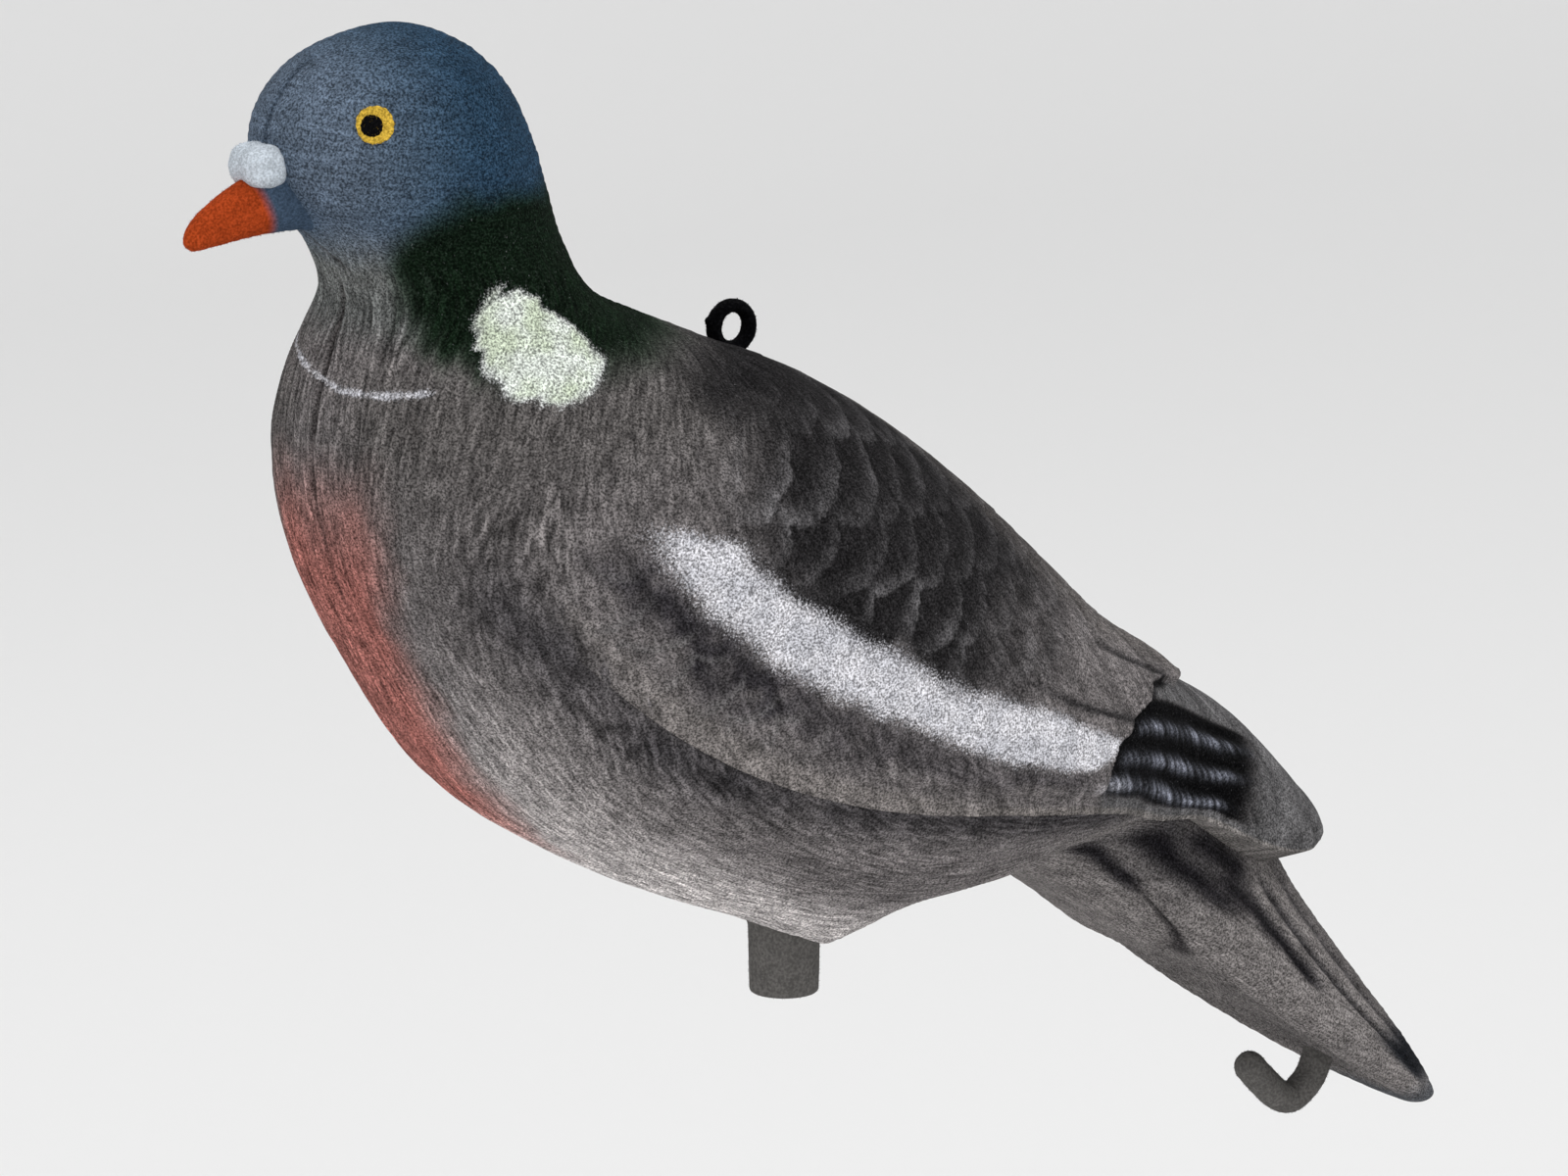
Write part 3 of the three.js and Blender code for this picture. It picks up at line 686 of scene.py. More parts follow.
def covert_paint(s, r, point, detail, soft, fine):
    """The wing's grey, charcoal coverts with painted highlight and shade at their scalloped edges, and dark
    lower coverts.
    """
    scale, plumed = detail["scale"], detail["plumed"]
    above_bar, below_bar = through(BAR_TOP, s) - r, r - through(BAR_LOW, s)
    dark = smooth(-64, -36, point[..., 0] + 40 * soft) * fall(3.7, 5.1, s + 2 * soft)
    dark = dark * fall(-0.03, 0.04, 0.6 * soft - above_bar)
    colour = mix(coat(WING_GREY, s.shape), CHARCOAL, 0.97 * dark)
    crown_at = through(CROWN_LINE, s)
    colour = mix(colour, CROWN_GREY, 0.6 * fall(crown_at - 0.1, crown_at + 0.02, r + 0.3 * soft))
    patches = smooth(-0.02, 0.03, below_bar) * fall(0.86, 0.92, r + 0.4 * soft)
    patches = patches * between(s, 1.4, 2.3, 5.9, 6.3)
    spots = 0.85 + 0.5 * fine * fall(3.6, 4.4, s) + 2 * soft - 0.4 * smooth(3.1, 4.1, s)
    colour = mix(colour, LOWER_DARK, patches * spots)
    colour = mix(colour, LOWER_PALE, 0.6 * smooth(0.92, 0.96, r) * between(s, 1.6, 2.6, 5, 6))
    near_bar = bump(above_bar, 0.05, 0.12) * between(s, 1.6, 2.2, 5.0, 5.6)
    wisps = smooth(-0.4, 0.5, noise(point, 10, 74)) * (0.8 + 0.5 * fine)
    # Painted highlight along each covert's raised edge, and painted shade just under it.
    lit = smooth(0.66, 0.97, scale) * (0.18 + (0.5 * near_bar + 0.35 * fall(1.6, 3, s)) * wisps)
    colour = mix(colour, SCALLOP_HIGHLIGHT, lit * plumed)
    colour = mix(colour, SCALLOP_SHADE, fall(0.0, 0.22, scale) * plumed * (0.18 + 0.3 * near_bar))
    # Painted highlight along the raised edges of the low scallops.
    colour = mix(colour, LOW_SCALLOP_HIGHLIGHT, 0.5 * smooth(0.82, 0.97, scale) * detail["low"])
    # Painted shadow just under the lower edges of two tertial feathers.
    for feather in TERTIAL_EDGES:
        line, (start, end) = through(feather, s), feather[0]
        seen = between(s, start, start + 0.8, end, end + 0.1)
        colour = mix(colour, TERTIAL_SHADOW, 0.75 * seen * bump(r, line + 0.012, 0.011))
    return colour


def primary_paint(colour, s, r, point, detail, soft, fine):
    """The primaries behind the tertial step: black with light barbed streaks, painted shadow under the step,
    and grey towards the tip.
    """
    after, barbed = detail["after"], detail["barbed"]
    black = after * smooth(-0.02, 0.02, r - through(BLACK_TOP, s)) * fall(0.9, 0.935, r + 0.1 * soft)
    black = black * fall(-0.45, 0.35, s - through(BLACK_END, r) + soft)
    colour = mix(colour, PRIMARY_GREY, after * (1 - black))
    colour = mix(colour, BLACK, black)
    smeared = (0.85 + 0.55 * barbed) * (0.9 + 0.35 * noise(point, 9, 75)) + 0.12 * fine
    streaky = detail["streak"] * np.clip(smeared, 0, 1.2)
    colour = mix(colour, STREAK_GREY, 0.8 * streaky * after * fall(8.3, 9.0, s))
    step_at = step_line(r)
    # Painted shadow under the tertial step.
    shadow = between(s, step_at - 0.02, step_at + 0.04, step_at + 0.08, step_at + 0.28)
    colour = mix(colour, BLACK, 0.85 * shadow * between(r, 0.39, 0.41, 0.8, 0.86))
    tuft = bump(s, 6.42, 0.2) * bump(r, 0.872, 0.03)
    colour = mix(colour, TUFT_WHITE, 0.7 * tuft * (0.7 + 0.5 * barbed))
    return mix(colour, RIM_GREY, 0.6 * smooth(0.955, 0.98, r) * smooth(5, 6, s))


def wing_paint(s, r, point, detail):
    """Paint of the wing, by layer, with the white of its bar."""
    soft = 0.12 * noise(point, 13, 71) + 0.07 * noise(point, 5, 72)
    fine = noise(point, 3.2, 73)
    cover, after = detail["cover"], detail["after"]
    colour = covert_paint(s, r, point, detail, soft, fine)
    colour = primary_paint(colour, s, r, point, detail, soft, fine)
    below_top, below_bar = r - through(BAR_TOP, s), r - through(BAR_LOW, s)
    rows = 0.15 + 0.15 * smooth(0, 0.03, below_bar) * fall(0.9, 0.93, r)
    mottle = 0.1 * noise(point, 3.6, 76) + 0.15 * detail["fuzz"] + rows * detail["barbed"]
    bar = smooth(-0.045, 0.035, below_top + 0.1 * soft) * fall(-0.06, 0.035, below_bar + 0.1 * soft)
    thin = bump(s, 4.3, 0.5) * bump(r, 0.68, 0.035)
    bar = bar * between(s, 1.35, 2.0, 5.9, 6.2) * (1.06 - 0.35 * thin + 0.1 * fine)
    own_kinds = np.stack([0 * s, 0.55 * (1 - after), 0.4 * after], -1)
    u, angle, _ = wing_place(s, r)
    layers = body_paint(u, angle, point)
    layers["paint"] = mix(layers["paint"], colour * (1 + mottle)[..., None], cover)
    layers["white"] = np.maximum(layers["white"] * (1 - cover), bar)
    layers["patch"] = layers["patch"] * fall(0.9, 1.3, s)
    layers["kinds"] = mix(layers["kinds"], own_kinds, cover)
    return layers


# Meshes

def linear(colour):
    """Linear light for a colour in sRGB from 0 to 255."""
    c = np.clip(np.asarray(colour, float) / 255, 0, 1)
    return np.where(c <= 0.04045, c / 12.92, ((c + 0.055) / 1.055) ** 2.4)


def grid_mesh(name, points, flat_start=False, flat_end=False):
    """A closed mesh from rings of points, each end closed by a fan to its middle.

    A flat end keeps its fan and its last ring of faces out of the smooth shading.
    """
    rings, sides = points.shape[:2]
    verts = points.reshape(-1, 3)
    ends = np.array([points[0].mean(0), points[-1].mean(0)])
    verts = np.vstack([verts, ends]) * MM
    i, j = np.meshgrid(np.arange(rings - 1), np.arange(sides), indexing="ij")
    a = i * sides + j
    b = i * sides + (j + 1) % sides
    quads = np.stack([a, a + sides, b + sides, b], -1).reshape(-1, 4)
    k = np.arange(sides)
    after = (k + 1) % sides
    first, last = rings * sides, rings * sides + 1
    start = np.stack([np.full(sides, first), k, after], -1)
    base = (rings - 1) * sides
    finish = np.stack([np.full(sides, last), base + after, base + k], -1)
    loops = np.concatenate([quads.ravel(), start.ravel(), finish.ravel()])
    totals = np.concatenate([np.full(len(quads), 4), np.full(2 * sides, 3)])
    rounded = np.ones(len(totals), bool)
    if flat_start:
        rounded[:sides] = False
        rounded[len(quads):len(quads) + sides] = False
    if flat_end:
        rounded[len(quads) - sides:len(quads)] = False
        rounded[len(quads) + sides:] = False
    mesh = bpy.data.meshes.new(name)
    mesh.vertices.add(len(verts))
    mesh.vertices.foreach_set("co", verts.astype(np.float32).ravel())
    mesh.loops.add(len(loops))
    mesh.loops.foreach_set("vertex_index", loops.astype(np.int32))
    mesh.polygons.add(len(totals))
    mesh.polygons.foreach_set("loop_start", np.concatenate([[0], np.cumsum(totals)[:-1]]).astype(np.int32))
    mesh.polygons.foreach_set("use_smooth", rounded)
    mesh.update(calc_edges=True)
    mesh.validate()
    return mesh


def add_paint(mesh, layers):
    """Stores the layers of paint per vertex, with the middle of each end ring for the ends."""
    def with_ends(values):
        flat = values.reshape(-1, values.shape[-1])
        ring = values.shape[1]
        return np.vstack([flat, flat[:ring].mean(0), flat[-ring:].mean(0)])

    for name, values in layers.items():
        if name == "paint":
            rgba = np.ones((len(mesh.vertices), 4), np.float32)
            rgba[:, :3] = linear(with_ends(values))
            layer = mesh.attributes.new(name, "FLOAT_COLOR", "POINT")
            layer.data.foreach_set("color", rgba.ravel())
        elif values.ndim == 3:
            layer = mesh.attributes.new(name, "FLOAT_VECTOR", "POINT")
            layer.data.foreach_set("vector", with_ends(values).astype(np.float32).ravel())
        else:
            layer = mesh.attributes.new(name, "FLOAT", "POINT")
            layer.data.foreach_set("value", with_ends(values[..., None]).astype(np.float32).ravel())


def piece(name, mesh, material, replaces=False):
    """A finished piece, riding on the decoy's one body."""
    obj = bpy.data.objects.new(name, mesh)
    bpy.context.collection.objects.link(obj)
    mesh.materials.clear()
    mesh.materials.append(material)
    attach(obj, "root")
    if replaces:
        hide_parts(NODE)


# Geometry node trees

def node_group(name, inputs):
    """A geometry node group that takes a geometry and the named inputs: the tree, its start and its end."""
    tree = bpy.data.node_groups.new(name, "GeometryNodeTree")
    tree.interface.new_socket("Geometry", in_out="OUTPUT", socket_type="NodeSocketGeometry")
    tree.interface.new_socket("Geometry", in_out="INPUT", socket_type="NodeSocketGeometry")
    for label, kind in inputs.items():
        tree.interface.new_socket(label, in_out="INPUT", socket_type="NodeSocket" + kind)
    return tree, tree.nodes.new("NodeGroupInput").outputs, tree.nodes.new("NodeGroupOutput").inputs


def tree_node(tree, kind, links, **settings):
    """A node with its inputs joined to sockets or set to values, by input number or name."""
    node = tree.nodes.new(kind)
    for key, value in settings.items():
        setattr(node, key, value)
    for key, value in links.items():
        if isinstance(value, bpy.types.NodeSocket):
            tree.links.new(value, node.inputs[key])
        else:
            node.inputs[key].default_value = value
    return node.outputs


def math_node(tree, operation, *values):
    return tree_node(tree, "ShaderNodeMath", dict(enumerate(values)), operation=operation)[0]


def tree_end(tree, start, end, geometry):
    """Ends a tree: plain geometry with the material that its input names."""
    real = tree_node(tree, "GeometryNodeRealizeInstances", {"Geometry": geometry})
    done = tree_node(tree, "GeometryNodeSetMaterial", {"Geometry": real[0], "Material": start["Material"]})
    tree.links.new(done[0], end["Geometry"])
    return tree


def bar_tree():
    """Sweeps a round or flattened bar along the edges of a mesh, thinner where its share is less."""
    tree, start, end = node_group("swept_bar", {
        "Bar": "Float", "Flatness": "Float", "Lumps": "Float", "Sides": "Int", "Material": "Material"})
    path = tree_node(tree, "GeometryNodeMeshToCurve", {"Mesh": start["Geometry"]})
    half = math_node(tree, "MULTIPLY", start["Bar"], 0.5)
    ring = tree_node(tree, "GeometryNodeCurvePrimitiveCircle", {"Resolution": start["Sides"], "Radius": half})
    flat = tree_node(tree, "ShaderNodeCombineXYZ", {"X": 1.0, "Y": start["Flatness"], "Z": 1.0})
    section = tree_node(tree, "GeometryNodeTransform", {"Geometry": ring[0], "Scale": flat[0]})
    share = tree_node(tree, "GeometryNodeInputNamedAttribute", {"Name": "share"}, data_type="FLOAT")
    bar = tree_node(tree, "GeometryNodeCurveToMesh", {
        "Curve": path[0], "Profile Curve": section[0], "Scale": share[0], "Fill Caps": True})
    bar = tree_node(tree, "GeometryNodeSetShadeSmooth", {"Geometry": bar[0]})
    lump = tree_node(tree, "ShaderNodeTexNoise", {"Scale": 1 / LUMP_SIZE, "Detail": 2.0})
    rise = math_node(tree, "MULTIPLY", math_node(tree, "SUBTRACT", lump["Fac"], 0.5), start["Lumps"])
    out = tree_node(tree, "GeometryNodeInputNormal", {})
    move = tree_node(tree, "ShaderNodeVectorMath", {0: out["Normal"], "Scale": rise}, operation="SCALE")
    moved = tree_node(tree, "GeometryNodeSetPosition", {"Geometry": bar[0], "Offset": move[0]})
    return tree_end(tree, start, end, moved[0])


def fibre_tree():
    """Scatters short leaning fibres of flock over a surface, and keeps the surface."""
    tree, start, end = node_group("flock_fibres", {
        "Density": "Float", "Length": "Float", "Thickness": "Float", "Lean": "Float", "Seed": "Int",
        "Material": "Material"})
    spots = tree_node(tree, "GeometryNodeDistributePointsOnFaces", {
        "Mesh": start["Geometry"], "Density": start["Density"], "Seed": start["Seed"]})
    fibre = tree_node(tree, "GeometryNodeMeshCone", {
        "Vertices": 3, "Radius Top": 0.0, "Radius Bottom": start["Thickness"], "Depth": start["Length"]},
        fill_type="NGON")
    down = math_node(tree, "MULTIPLY", start["Length"], -0.25)
    sunk = tree_node(tree, "ShaderNodeCombineXYZ", {"Z": down})
    fibre = tree_node(tree, "GeometryNodeTransform", {"Geometry": fibre[0], "Translation": sunk[0]})
    back = math_node(tree, "MULTIPLY", start["Lean"], -1.0)
    low = tree_node(tree, "ShaderNodeCombineXYZ", {"X": back, "Y": back})
    high = tree_node(tree, "ShaderNodeCombineXYZ", {"X": start["Lean"], "Y": start["Lean"]})
    lean = tree_node(tree, "FunctionNodeRandomValue", {0: low[0], 1: high[0], "Seed": start["Seed"]},
                     data_type="FLOAT_VECTOR")
    turn = tree_node(tree, "FunctionNodeEulerToRotation", {"Euler": lean[0]})
    turned = tree_node(tree, "FunctionNodeRotateRotation", {
        "Rotation": spots["Rotation"], "Rotate By": turn[0]}, rotation_space="LOCAL")
    grown = tree_node(tree, "GeometryNodeInstanceOnPoints", {
        "Points": spots["Points"], "Instance": fibre[0], "Rotation": turned[0]})
    both = tree_node(tree, "GeometryNodeJoinGeometry", {0: grown[0]})
    tree.links.new(start["Geometry"], both[0].node.inputs[0])
    return tree_end(tree, start, end, both[0])


def grown_mesh(name, mesh, tree, values):
    """The plain mesh that a node group makes of a mesh, with its named inputs set."""
    obj = bpy.data.objects.new(name, mesh)
    bpy.context.collection.objects.link(obj)
    modifier = obj.modifiers.new(tree.name, "NODES")
    modifier.node_group = tree
    for item in tree.interface.items_tree:
        if item.in_out == "INPUT" and item.name in values:
            modifier[item.identifier] = values[item.name]
    graph = bpy.context.evaluated_depsgraph_get()
    made = bpy.data.meshes.new_from_object(obj.evaluated_get(graph))
    obj.modifiers.remove(modifier)
    bpy.data.objects.remove(obj)
    if not made.polygons:
        raise RuntimeError("no faces were made for " + name)
    made.name = name
    return made


def flocked(name, mesh, material, density=FIBRE_DENSITY):
    """A piece of the mesh under a fuzz of flock fibres."""
    tree = bpy.data.node_groups.get("flock_fibres") or fibre_tree()
    values = {**FIBRE, "Density": density / MM ** 2, "Material": material}
    piece(name, grown_mesh(name, mesh, tree, values), material)


def path_mesh(name, path, share, closed=False):
    """A line of edges through the points, with the bar's share of its full thickness at each."""
    count = len(path)
    edges = [(k, (k + 1) % count) for k in range(count if closed else count - 1)]
    mesh = bpy.data.meshes.new(name)
    mesh.from_pydata((np.asarray(path) * MM).tolist(), edges, [])
    layer = mesh.attributes.new("share", "FLOAT", "POINT")
    layer.data.foreach_set("value", np.asarray(share, np.float32))
    return mesh


# Materials

def new_material(name):
    """A matt surface with the faint sheen of flock: the material, its tree and its shader."""
    material = bpy.data.materials.new(name)
    material.use_nodes = True
    shader = material.node_tree.nodes["Principled BSDF"]
    shader.inputs["Roughness"].default_value = 1.0
    shader.inputs["Specular IOR Level"].default_value = 0.02
    shader.inputs["Sheen Weight"].default_value = 0.006
    shader.inputs["Sheen Roughness"].default_value = 0.6
    return material, material.node_tree, shader


def noise_node(tree, coordinates, size, detail):
    return tree_node(tree, "ShaderNodeTexNoise", {
        "Vector": coordinates, "Scale": 1 / size, "Detail": detail})["Fac"]


def map_range(tree, value, low, high, to_low=0.0, to_high=1.0):
    ends = {"Value": value, "From Min": low, "From Max": high, "To Min": to_low, "To Max": to_high}
    return tree_node(tree, "ShaderNodeMapRange", ends, interpolation_type="SMOOTHSTEP")["Result"]


def mix_colour(tree, factor, first, second):
    """A blend of two colours, each a socket or given in sRGB from 0 to 255."""
    ends = [(*linear(value), 1) if isinstance(value, tuple) else value for value in (first, second)]
    return tree_node(tree, "ShaderNodeMix", {0: factor, 6: ends[0], 7: ends[1]}, data_type="RGBA")[2]


def object_place(tree):
    return tree_node(tree, "ShaderNodeTexCoord", {})["Object"]


def attribute_node(tree, name):
    return tree_node(tree, "ShaderNodeAttribute", {}, attribute_name=name)


def split_vector(tree, vector):
    return tree_node(tree, "ShaderNodeSeparateXYZ", {0: vector})


def flock_finish(tree, shader, colour, grain_size, contrast, strokes_fac=None):
    """Speckle and fuzz of short fibres over a colour, and strokes through both where they are given."""
    place = object_place(tree)
    fine = noise_node(tree, place, grain_size * MM, 2)
    broad = noise_node(tree, place, 6 * grain_size * MM, 3)
    speck = map_range(tree, fine, 0.3, 0.7, 1 - contrast, 1 + contrast)
    tone = math_node(tree, "MULTIPLY", speck, map_range(tree, broad, 0.25, 0.75, 0.9, 1.1))
    height = fine
    if strokes_fac is not None:
        tone = math_node(tree, "MULTIPLY", tone, math_node(tree, "MULTIPLY_ADD", strokes_fac, 0.85, 1.0))
        height = math_node(tree, "MULTIPLY_ADD", strokes_fac, 1.1, fine)
    toned = tree_node(tree, "ShaderNodeVectorMath", {0: colour, "Scale": tone}, operation="SCALE")[0]
    light_specks = map_range(tree, fine, 0.5, 0.75, 0.0, 0.014 * contrast)
    lit = tree_node(tree, "ShaderNodeVectorMath", {0: toned, 1: light_specks}, operation="ADD")[0]
    fuzz = tree_node(tree, "ShaderNodeBump", {"Strength": 0.6, "Distance": 0.3 * MM, "Height": height})[0]
    tree.links.new(lit, shader.inputs["Base Color"])
    tree.links.new(fuzz, shader.inputs["Normal"])


def drawn_strokes(tree):
    """Fine combed strokes from about -0.5 to 0.5, laid as the kinds of grain say."""
    place = split_vector(tree, attribute_node(tree, "combing")["Vector"])
    kinds = split_vector(tree, attribute_node(tree, "kinds")["Vector"])
    girth, run = place["X"], place["Y"]
    slant_across, slant_along = [
        math_node(tree, "MULTIPLY_ADD", run, run_share, math_node(tree, "MULTIPLY", girth, girth_share))
        for run_share, girth_share in ((SLANT_ACROSS, SLANT_ALONG), (SLANT_ALONG, -SLANT_ACROSS))]
    total = 0.0
    for kind, across, along, width, length in (
            ("X", girth, run, 1.0, 6.0),
            ("Y", slant_across, slant_along, 1.3, 5.5),
            ("Z", run, girth, 1.0, 6.0)):
        across = math_node(tree, "MULTIPLY", across, 1 / width)
        along = math_node(tree, "MULTIPLY", along, 1 / length)
        drawn = tree_node(tree, "ShaderNodeCombineXYZ", {"X": across, "Y": along})[0]
        streak = map_range(tree, noise_node(tree, drawn, 1.0, 1), 0.28, 0.72, -0.5, 0.5)
        total = math_node(tree, "MULTIPLY_ADD", streak, kinds[kind], total)
    return total


def plumage_material(name):
    """Painted flock: the airbrushed colour under sprayed white, which breaks up at its edges."""
    material, tree, shader = new_material(name)
    white, patch = attribute_node(tree, "white")["Fac"], attribute_node(tree, "patch")["Fac"]
    place = object_place(tree)
    spray = noise_node(tree, place, 0.42 * MM, 2)
    mottle = noise_node(tree, place, 7 * MM, 2)
    spread = math_node(tree, "MULTIPLY_ADD", spray, 1.3, math_node(tree, "ADD", white, -0.65))
    cover = map_range(tree, spread, 0.2, 0.8)
    bright = mix_colour(tree, patch, BAR_BRIGHT, PATCH_BRIGHT)
    dull = mix_colour(tree, patch, BAR_DULL, PATCH_DULL)
    pale = mix_colour(tree, map_range(tree, mottle, 0.35, 0.65), bright, dull)
    colour = mix_colour(tree, cover, attribute_node(tree, "paint")["Color"], pale)
    bare = math_node(tree, "MULTIPLY_ADD", cover, -0.7, 1.0)
    drawn = math_node(tree, "MULTIPLY", drawn_strokes(tree), bare)
    flock_finish(tree, shader, colour, 0.46, 0.66, drawn)
    return material


def plain_flock(name, colour, grain_size=0.6, contrast=0.22, root=None):
    """Flock of one colour, or with another colour behind a boundary that leans forward towards its foot."""
    material, tree, shader = new_material(name)
    if root is None:
        base = tree_node(tree, "ShaderNodeRGB", {})[0]
        base.default_value = (*linear(colour), 1)
    else:
        root_colour, start, end, lean = root
        place = split_vector(tree, object_place(tree))
        leaning = math_node(tree, "MULTIPLY_ADD", place["Z"], lean, place["X"])
        base = mix_colour(tree, map_range(tree, leaning, start * MM, end * MM), root_colour, colour)
    flock_finish(tree, shader, base, grain_size, contrast)
    return material


# Settings that a user may change

class DecoySizes(bpy.types.PropertyGroup):
    ring_outer: bpy.props.FloatProperty(
        name="Ring diameter", description="Outer diameter of the ring on the back",
        default=11.9 * MM, unit="LENGTH")
    ring_hole: bpy.props.FloatProperty(
        name="Ring hole", description="Diameter of the ring's hole", default=6 * MM, unit="LENGTH")
    ring_thickness: bpy.props.FloatProperty(
        name="Ring thickness", description="Thickness of the ring across the bird",
        default=4 * MM, unit="LENGTH")
    hook_bar: bpy.props.FloatProperty(
        name="Hook bar", description="Thickness of the hook's round bar", default=7.2 * MM, unit="LENGTH")
    stub_diameter: bpy.props.FloatProperty(
        name="Stub diameter", description="Diameter of the stub under the belly",
        default=15.8 * MM, unit="LENGTH")
    fineness: bpy.props.FloatProperty(
        name="Fineness", description="Share of the full number of rows and columns in the plumage",
        default=1.0, min=0.1, max=1.0, subtype="FACTOR")


class DecoyColours(bpy.types.PropertyGroup):
    beak: bpy.props.FloatVectorProperty(
        name="Beak", description="Colour of the beak's tip, in sRGB from 0 to 255",
        default=(158, 62, 26), min=0, max=255, size=3)
    fittings: bpy.props.FloatVectorProperty(
        name="Fittings", description="Colour of the stub and hook, in sRGB from 0 to 255",
        default=(93, 91, 89), min=0, max=255, size=3)


def resolution(count):
    share = bpy.context.scene.decoy_sizes.fineness
    return max(8, int(count * share))


def shared_material():
    return bpy.data.materials.get("painted_flock") or plumage_material("painted_flock")


# Body, tail and wings

def body_columns():
    """Angles round the body, closer together below, where the grain shows, than on the covered back."""
    covered = np.linspace(0, 1.25, resolution(48), endpoint=False)
    shown = np.linspace(1.25, math.pi, resolution(170), endpoint=False)
    half = np.concatenate([covered, shown])
    return np.concatenate([half, [math.pi], 2 * math.pi - half[:0:-1]])


def body_rows(start, end):
    """Stations along the body, closer together where its lines run across it."""
    knots = [0, 0.25, 1, 6, 8, 13, 14.5, 19]
    steps = [0.03, 0.05, 0.056, 0.07, 0.065, 0.05, 0.04]
    rows = np.concatenate([np.arange(a, b, step) for a, b, step in zip(knots, knots[1:], steps)])
    return rows[(rows >= start - 1e-9) & (rows <= end + 1e-9)]


def body_part(name, start, end, open_row, replaces=False):
    """A length of the body. Its open end, row 0 or -1, dips under the part that it meets."""
    u, angle = np.meshgrid(body_rows(start, end), body_columns(), indexing="ij")
    point, out = skin(u, angle), skin_normal(u, angle)
    dive = smooth(HEAD_ENDS_AT - OVERLAP, HEAD_ENDS_AT, u)
    if open_row == 0:
        dive = 1 - dive
    surface = point + out * (body_relief(u, angle, point) - DIP * dive)[..., None]
    sunk = point[open_row] - out[open_row] * SUNK
    place = len(u) if open_row else 0
    points = np.insert(surface, place, sunk, axis=0)
    layers = {key: np.insert(layer, place, layer[open_row], axis=0)
              for key, layer in body_paint(u, angle, point).items()}
    mesh = grid_mesh(name, points, flat_start=open_row == 0, flat_end=open_row == -1)
    add_paint(mesh, layers)
    piece(name, mesh, shared_material(), replaces)


class DECOY_OT_head(bpy.types.Operator):
    """Builds the head and neck"""
    bl_idname = "decoy.head"
    bl_label = "Head"

    def execute(self, context):
        body_part("head", 0.02, HEAD_ENDS_AT, -1)
        return {"FINISHED"}


class DECOY_OT_body(bpy.types.Operator):
    """Builds the breast, belly, back and under tail coverts"""
    bl_idname = "decoy.body"
    bl_label = "Body"

    def execute(self, context):
        body_part("body", HEAD_ENDS_AT - OVERLAP, BODY_ENDS_AT, 0, replaces=True)
        return {"FINISHED"}


class DECOY_OT_tail(bpy.types.Operator):
    """Builds the tail, which runs in under the coverts"""
    bl_idname = "decoy.tail"
    bl_label = "Tail"

    def execute(self, context):
        rows = TAIL_STARTS_AT + (TAIL_ENDS_AT - TAIL_STARTS_AT) * np.linspace(0, 0.999, resolution(250))
        columns = np.linspace(0, 2 * math.pi, resolution(270), endpoint=False)
        u, angle = np.meshgrid(rows, columns, indexing="ij")
        point = skin(u, angle)
        surface = point + skin_normal(u, angle) * tail_relief(u, angle, point)[..., None]
        mesh = grid_mesh("tail", surface)
        add_paint(mesh, body_paint(u, angle, point))
        piece("tail", mesh, shared_material())
        return {"FINISHED"}


class DECOY_OT_wings(bpy.types.Operator):
    """Builds the two folded wings"""
    bl_idname = "decoy.wings"
    bl_label = "Wings"

    def execute(self, context):
        rows = np.linspace(0, len(WING_ROWS) - 1, resolution(400))
        s, r = np.meshgrid(rows, np.linspace(0, 1, resolution(180)), indexing="ij")
        u, angle, height = wing_place(s, r)
        base = skin(u, angle)
        relief, detail = wing_relief(s, r, base)
        height = height + relief
        outer = base + skin_normal(u, angle) * height[..., None]
        lip = self.lip(rows, height[:, -1])
        lining = self.lining(rows)
        points = np.concatenate([outer, lip, lining], axis=1)
        hidden = lip.shape[1] + lining.shape[1]
        layers = {key: np.concatenate([layer] + [layer[:, -1:]] * hidden, axis=1)
                  for key, layer in wing_paint(s, r, base, detail).items()}
        self.wing("wing_left", points, layers)
        mirrored = (points * np.array([1, -1, 1]))[:, ::-1]
        self.wing("wing_right", mirrored, {key: layer[:, ::-1] for key, layer in layers.items()})
        return {"FINISHED"}

    @staticmethod
    def wing(name, points, layers):
        mesh = grid_mesh(name, points)
        add_paint(mesh, layers)
        piece(name, mesh, shared_material())

    @staticmethod
    def lining(rows):
        """The wing's inner side, a little inside the body."""
        s, r = np.meshgrid(rows, np.linspace(1, 0, 5), indexing="ij")
        u, angle, _ = wing_place(s, r)
        return skin(u, angle) - skin_normal(u, angle) * LINING

    @staticmethod
    def lip(rows, height):
        """A rounded lip that turns the wing's lower edge down to the body."""
        turns = np.linspace(0, math.pi / 2, 6)[1:]
        s, turn = np.meshgrid(rows, turns, indexing="ij")
        u, angle, _ = wing_place(s, np.ones_like(s))
        drop = (height[:, None] + LINING) * np.cos(turn) - LINING
        swell = np.clip(height[:, None], 0, 0.5) * np.sin(turn)
        base = skin(u, angle)
        along_r = skin(*wing_place(s, np.full_like(s, 1.01))[:2]) - base
        along_r /= np.linalg.norm(along_r, axis=-1, keepdims=True)
        return base + skin_normal(u, angle) * drop[..., None] + along_r * swell[..., None]


# Beak and eyes

